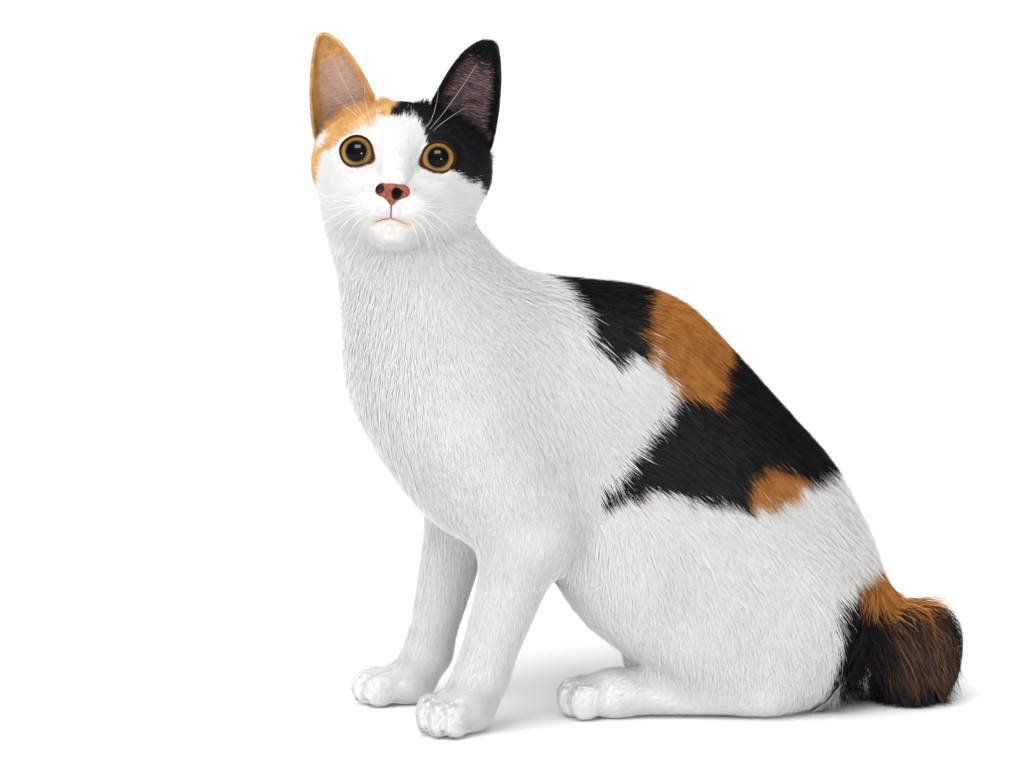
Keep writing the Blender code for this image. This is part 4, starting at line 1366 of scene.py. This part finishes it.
stands[in_ear] = np.where(in_cup[in_ear], CUP_STAND, EAR_STAND)
lengths *= np.where(in_cup, 1.2 - by_ear[:, 2], 1)
lengths = np.minimum(lengths, np.minimum(from_lips(roots), np.maximum(past_lids(roots), SHORTEST)))
ear_feet = []
for side in (LEFT, RIGHT):
    ear_feet += [ear_point(side, around, EAR_FOOT) for around in np.linspace(-1, 1, 21)]
    inner_foot, outer_foot = ear_point(side, -1, EAR_FOOT), ear_point(side, 1, EAR_FOOT)
    ear_feet += [inner_foot + (outer_foot - inner_foot) * share for share in np.linspace(0, 1, 15)]
ear_feet = laid_on(np.array(ear_feet), HEAD, 10)
at_head = np.flatnonzero(~in_ear & (roots[:, 2] > 0.26))
from_ear = np.linalg.norm(roots[at_head, None] - ear_feet[None], axis=2).min(1)
reach = 1 - smooth(0.003, 0.010, from_ear)
lengths[at_head] *= 1 + EAR_FOOT_TIMES * reach
stands[at_head] += EAR_FOOT_STAND * reach * random.random(len(at_head))
black, orange, brown = marks_at(roots + ways * (0.12 * lengths)[:, None])
strand = random.normal(0, EDGE_SCATTER, count)
# By the folds between the toes the tufts get some pink, which also paints the folds' shade.
pink_shares = [0.30 * (1 - smooth(LIP_BARE, LIP_PINK, from_lips(roots))), 0.35 * toe_creases(roots),
               0.45 * (1 - smooth(0.0, 0.0022, distance(NOSE, roots)))]
marks = {
    "black": (black + strand > 0).astype(float),
    "orange": np.maximum(orange + strand > 0, BROWN_SHARE * (brown + 2 * strand > 0)),
    "shade": random.random(count),
    "pink": np.maximum.reduce(pink_shares),
    "dark": np.zeros(count),
}
pale_share = np.where(by_ear[:, 0] == LEFT, PALE_LEFT, PALE_RIGHT)
cup_pale = in_cup & (random.random(count) < pale_share * bare_ear(by_ear))
for side, colour, colour_share, pink_share in ((LEFT, "black", 0.65, 0.35), (RIGHT, "orange", 0.30, 0.20)):
    in_this_cup = cup_pale & (by_ear[:, 0] == side)
    marks[colour][in_this_cup] = colour_share
    marks["pink"][in_this_cup] = pink_share
spines = lying_spines(roots, normals, ways, lengths, stands, ~in_ear)
sides = np.cross(normals, ways)

for number, name in enumerate(REGION_NAMES):
    chosen = np.flatnonzero(region == number)
    order = chosen[np.argsort(roots[chosen, 0] if name == "trunk" else roots[chosen, 1])]
    for part, share in enumerate(np.array_split(order, int(np.ceil(len(chosen) / PIECE_TUFTS)))):
        add_coat(f"coat_{name}_{part + 1}", "coat_white", spines[share], sides[share], normals[share],
                 widths[share], {mark: values[share] for mark, values in marks.items()}, map_places[share])

# The pom's hairs fan out from the tail's root over its core, curl a little and hang to the floor.
x, y, z = points.T
by_pom = on_pom | ((y > 0.100) & (z > 0.006) & (z < 0.066) & (np.abs(x) < 0.030))
roots, normals, map_places, _, _ = sampled(skin_mesh, by_pom * POM_ROOTS, tables, random)
kept = random.permutation(len(roots))[:POM_HAIRS]
roots, normals, map_places = roots[kept], normals[kept], map_places[kept]
count = len(roots)
fan = roots - POM_ROOT
fan -= (fan * normals).sum(1)[:, None] * normals
lift = POM_LIFT * normals * random.uniform(0.5, 1.6, count)[:, None]
outward = unit(unit(fan) + lift + random.normal(0, POM_STRAY, (count, 3)))
lengths = POM_HAIR * random.uniform(0.6, 1.1, count) * np.where(roots[:, 2] > POM_TOP, POM_TOP_SHARE, 1)
curls = np.stack([ripple(roots, POM_WAVE, seed) for seed in (21, 22, 23)], 1) * POM_CURL
spines = np.empty((count, 4, 3))
spines[:, 0] = roots - normals * 0.0005
for step, share in ((1, 0.33), (2, 0.67), (3, 1.0)):
    drop = POM_DROP * share ** 2
    spot = roots + (outward * share + drop + curls * share ** 2) * lengths[:, None]
    over = np.maximum(distance(FLESH, spot, False) + 0.001, 0)
    spot -= slope_of(FLESH, spot, distance(FLESH, spot)) * np.minimum(over, 0.015)[:, None]
    spot[:, 2] = np.maximum(spot[:, 2], 3 * FLOOR_GAP)
    spines[:, step] = spot
black, orange, brown = marks_at(spines[:, 2])
strand = random.normal(0, POM_SCATTER, count)
marks = {
    "black": (black + strand > 0).astype(float),
    "orange": np.maximum(orange + strand > 0, random.choice(BROWN_SHARES, count, p=BROWN_ODDS) * (brown > 0)),
    "shade": random.random(count),
    "pink": np.zeros(count),
    "dark": np.zeros(count),
}
sides = unit(np.cross(normals, spines[:, 3] - spines[:, 0]))
tops = unit(np.cross(spines[:, 3] - spines[:, 0], sides))
add_coat("coat_pom", "tail_fur", spines, sides, tops, np.full(count, POM_HAIR_WIDTH), marks, map_places)


# Lips
# The closed mouth shows as a thin dark line of lip skin, down from the nose and out to each side. It is a
# rod for each side, sunk half into the groove of the skin.
LIP_LINE = 0.00045               # half the width of the line in its middle
LIP_SINK = 0.0004                # how deep its middle lies under the face
LIP_COLOUR = (0.26, 0.11, 0.10)
LIP_STEPS = 40

lip_surface, lip_place, lip_shader = new_surface("lip_skin", Roughness=0.6, Specular_IOR_Level=0.1)
lip_tint = lip_place.noise(600.0).mixed(LIP_COLOUR, tuple(1.6 * part for part in LIP_COLOUR))
lip_tint.feed(lip_shader, "Base Color")


def rod_into(builder, path, width):
    """A closed three-sided rod along the path, thinner toward its end."""
    rows = []
    for number, place in enumerate(path[:-1]):
        ahead = unit(path[number + 1] - place)
        aside = unit(np.cross(ahead, (0.1, 0.2, 1)))
        half = width / 2 * (1 - number / len(path)) ** 0.6
        across = np.cross(ahead, aside)
        ways = [cos(turn) * aside + sin(turn) * across for turn in (0, 2 * pi / 3, 4 * pi / 3)]
        rows.append([builder.verts.new(place + way * half) for way in ways])
    tip = builder.verts.new(path[-1])
    builder.faces.new(rows[0][::-1])
    for low, high in zip(rows, rows[1:]):
        for first, second in ((0, 1), (1, 2), (2, 0)):
            builder.faces.new((low[first], low[second], high[second], high[first]))
    for first, second in ((0, 1), (1, 2), (2, 0)):
        builder.faces.new((rows[-1][first], rows[-1][second], tip))


lips_builder = bmesh.new()
for side in (LEFT, RIGHT):
    path = np.array(MOUTH[side])
    shares = np.linspace(0, 1, len(path))
    fine = np.stack([np.interp(np.linspace(0, 1, LIP_STEPS), shares, path[:, axis]) for axis in (0, 2)], 1)
    for _ in range(4):
        fine[1:-1] = (fine[:-2] + 2 * fine[1:-1] + fine[2:]) / 4
    fine = np.array([face_front(*spot) - (0, LIP_SINK, 0) for spot in fine])
    rod_into(lips_builder, HEAD_PLACE[0] + fine @ HEAD_PLACE[1], 2 * LIP_LINE)
bmesh.ops.recalc_face_normals(lips_builder, faces=lips_builder.faces)
lips_mesh = mesh_from(lips_builder, "lip_line")
lips_mesh.shade_smooth()
lip_line = put_in_scene("lip_line", lips_mesh, lip_surface)
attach(lip_line, "root")


# Whiskers
# Long stiff white hairs that curve down from the muzzle pads, and a few over each eye. Each is a thin
# tapering rod with its root in the skin.
WHISKER_WIDTH = 0.00034
WHISKER_RINGS = 9
PAD_WHISKERS = (                 # root aside and up, then the tip's aside, ahead and up, on the head
    ((0.0120, -0.0265), (0.0480, 0.012, -0.0240)), ((0.0150, -0.0270), (0.0500, 0.004, -0.0300)),
    ((0.0110, -0.0290), (0.0470, 0.014, -0.0360)), ((0.0145, -0.0300), (0.0440, 0.006, -0.0460)),
    ((0.0100, -0.0310), (0.0400, 0.018, -0.0520)), ((0.0130, -0.0325), (0.0360, 0.012, -0.0600)),
    ((0.0085, -0.0330), (0.0290, 0.020, -0.0640)), ((0.0115, -0.0340), (0.0240, 0.016, -0.0690)),
    ((0.0070, -0.0340), (0.0190, 0.022, -0.0660)), ((0.0165, -0.0290), (0.0420, 0.000, -0.0530)),
    ((0.0125, -0.0310), (0.0310, 0.018, -0.0720)), ((0.0140, -0.0285), (0.0480, 0.010, -0.0560)),
)
BROW_WHISKERS = (
    ((0.0146, 0.0140), (0.0390, 0.012, 0.0520)), ((0.0165, 0.0135), (0.0370, 0.018, 0.0280)),
    ((0.0130, 0.0150), (0.0190, 0.018, 0.0370)),
)
WHISKER_WHITE = (0.86, 0.85, 0.80)

whisker_surface, whisker_place, whisker_shader = new_surface(
    "whisker", Roughness=0.35, Specular_IOR_Level=0.5)
whisker_place.noise(200.0).mixed(WHISKER_WHITE, tuple(0.95 * part for part in WHISKER_WHITE)).feed(
    whisker_shader, "Base Color")


def whisker_path(side, root, tip):
    """From the skin at the root out ahead of the face and then down or up to the tip."""
    start = face_front(side * root[0], root[1]) - (0, 0.0010, 0)
    end = np.array([side * tip[0], tip[1], tip[2]])
    way = np.array([side * 0.55, 0.85, 0.05 if tip[2] < 0 else 0.5])
    bend = start + unit(way) * np.linalg.norm(end - start) * 0.45
    shares = np.linspace(0, 1, WHISKER_RINGS)[:, None]
    curve = start * (1 - shares) ** 2 + 2 * bend * shares * (1 - shares) + end * shares ** 2
    return HEAD_PLACE[0] + curve @ HEAD_PLACE[1]


whiskers = bmesh.new()
for side in (LEFT, RIGHT):
    for root, tip in PAD_WHISKERS:
        rod_into(whiskers, whisker_path(side, root, tip), WHISKER_WIDTH)
    for root, tip in BROW_WHISKERS:
        rod_into(whiskers, whisker_path(side, root, tip), 0.6 * WHISKER_WIDTH)
bmesh.ops.recalc_face_normals(whiskers, faces=whiskers.faces)
whisker_mesh = mesh_from(whiskers, "whiskers")
whisker_mesh.shade_smooth()
whisker_piece = put_in_scene("whiskers", whisker_mesh, whisker_surface)
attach(whisker_piece, "root")
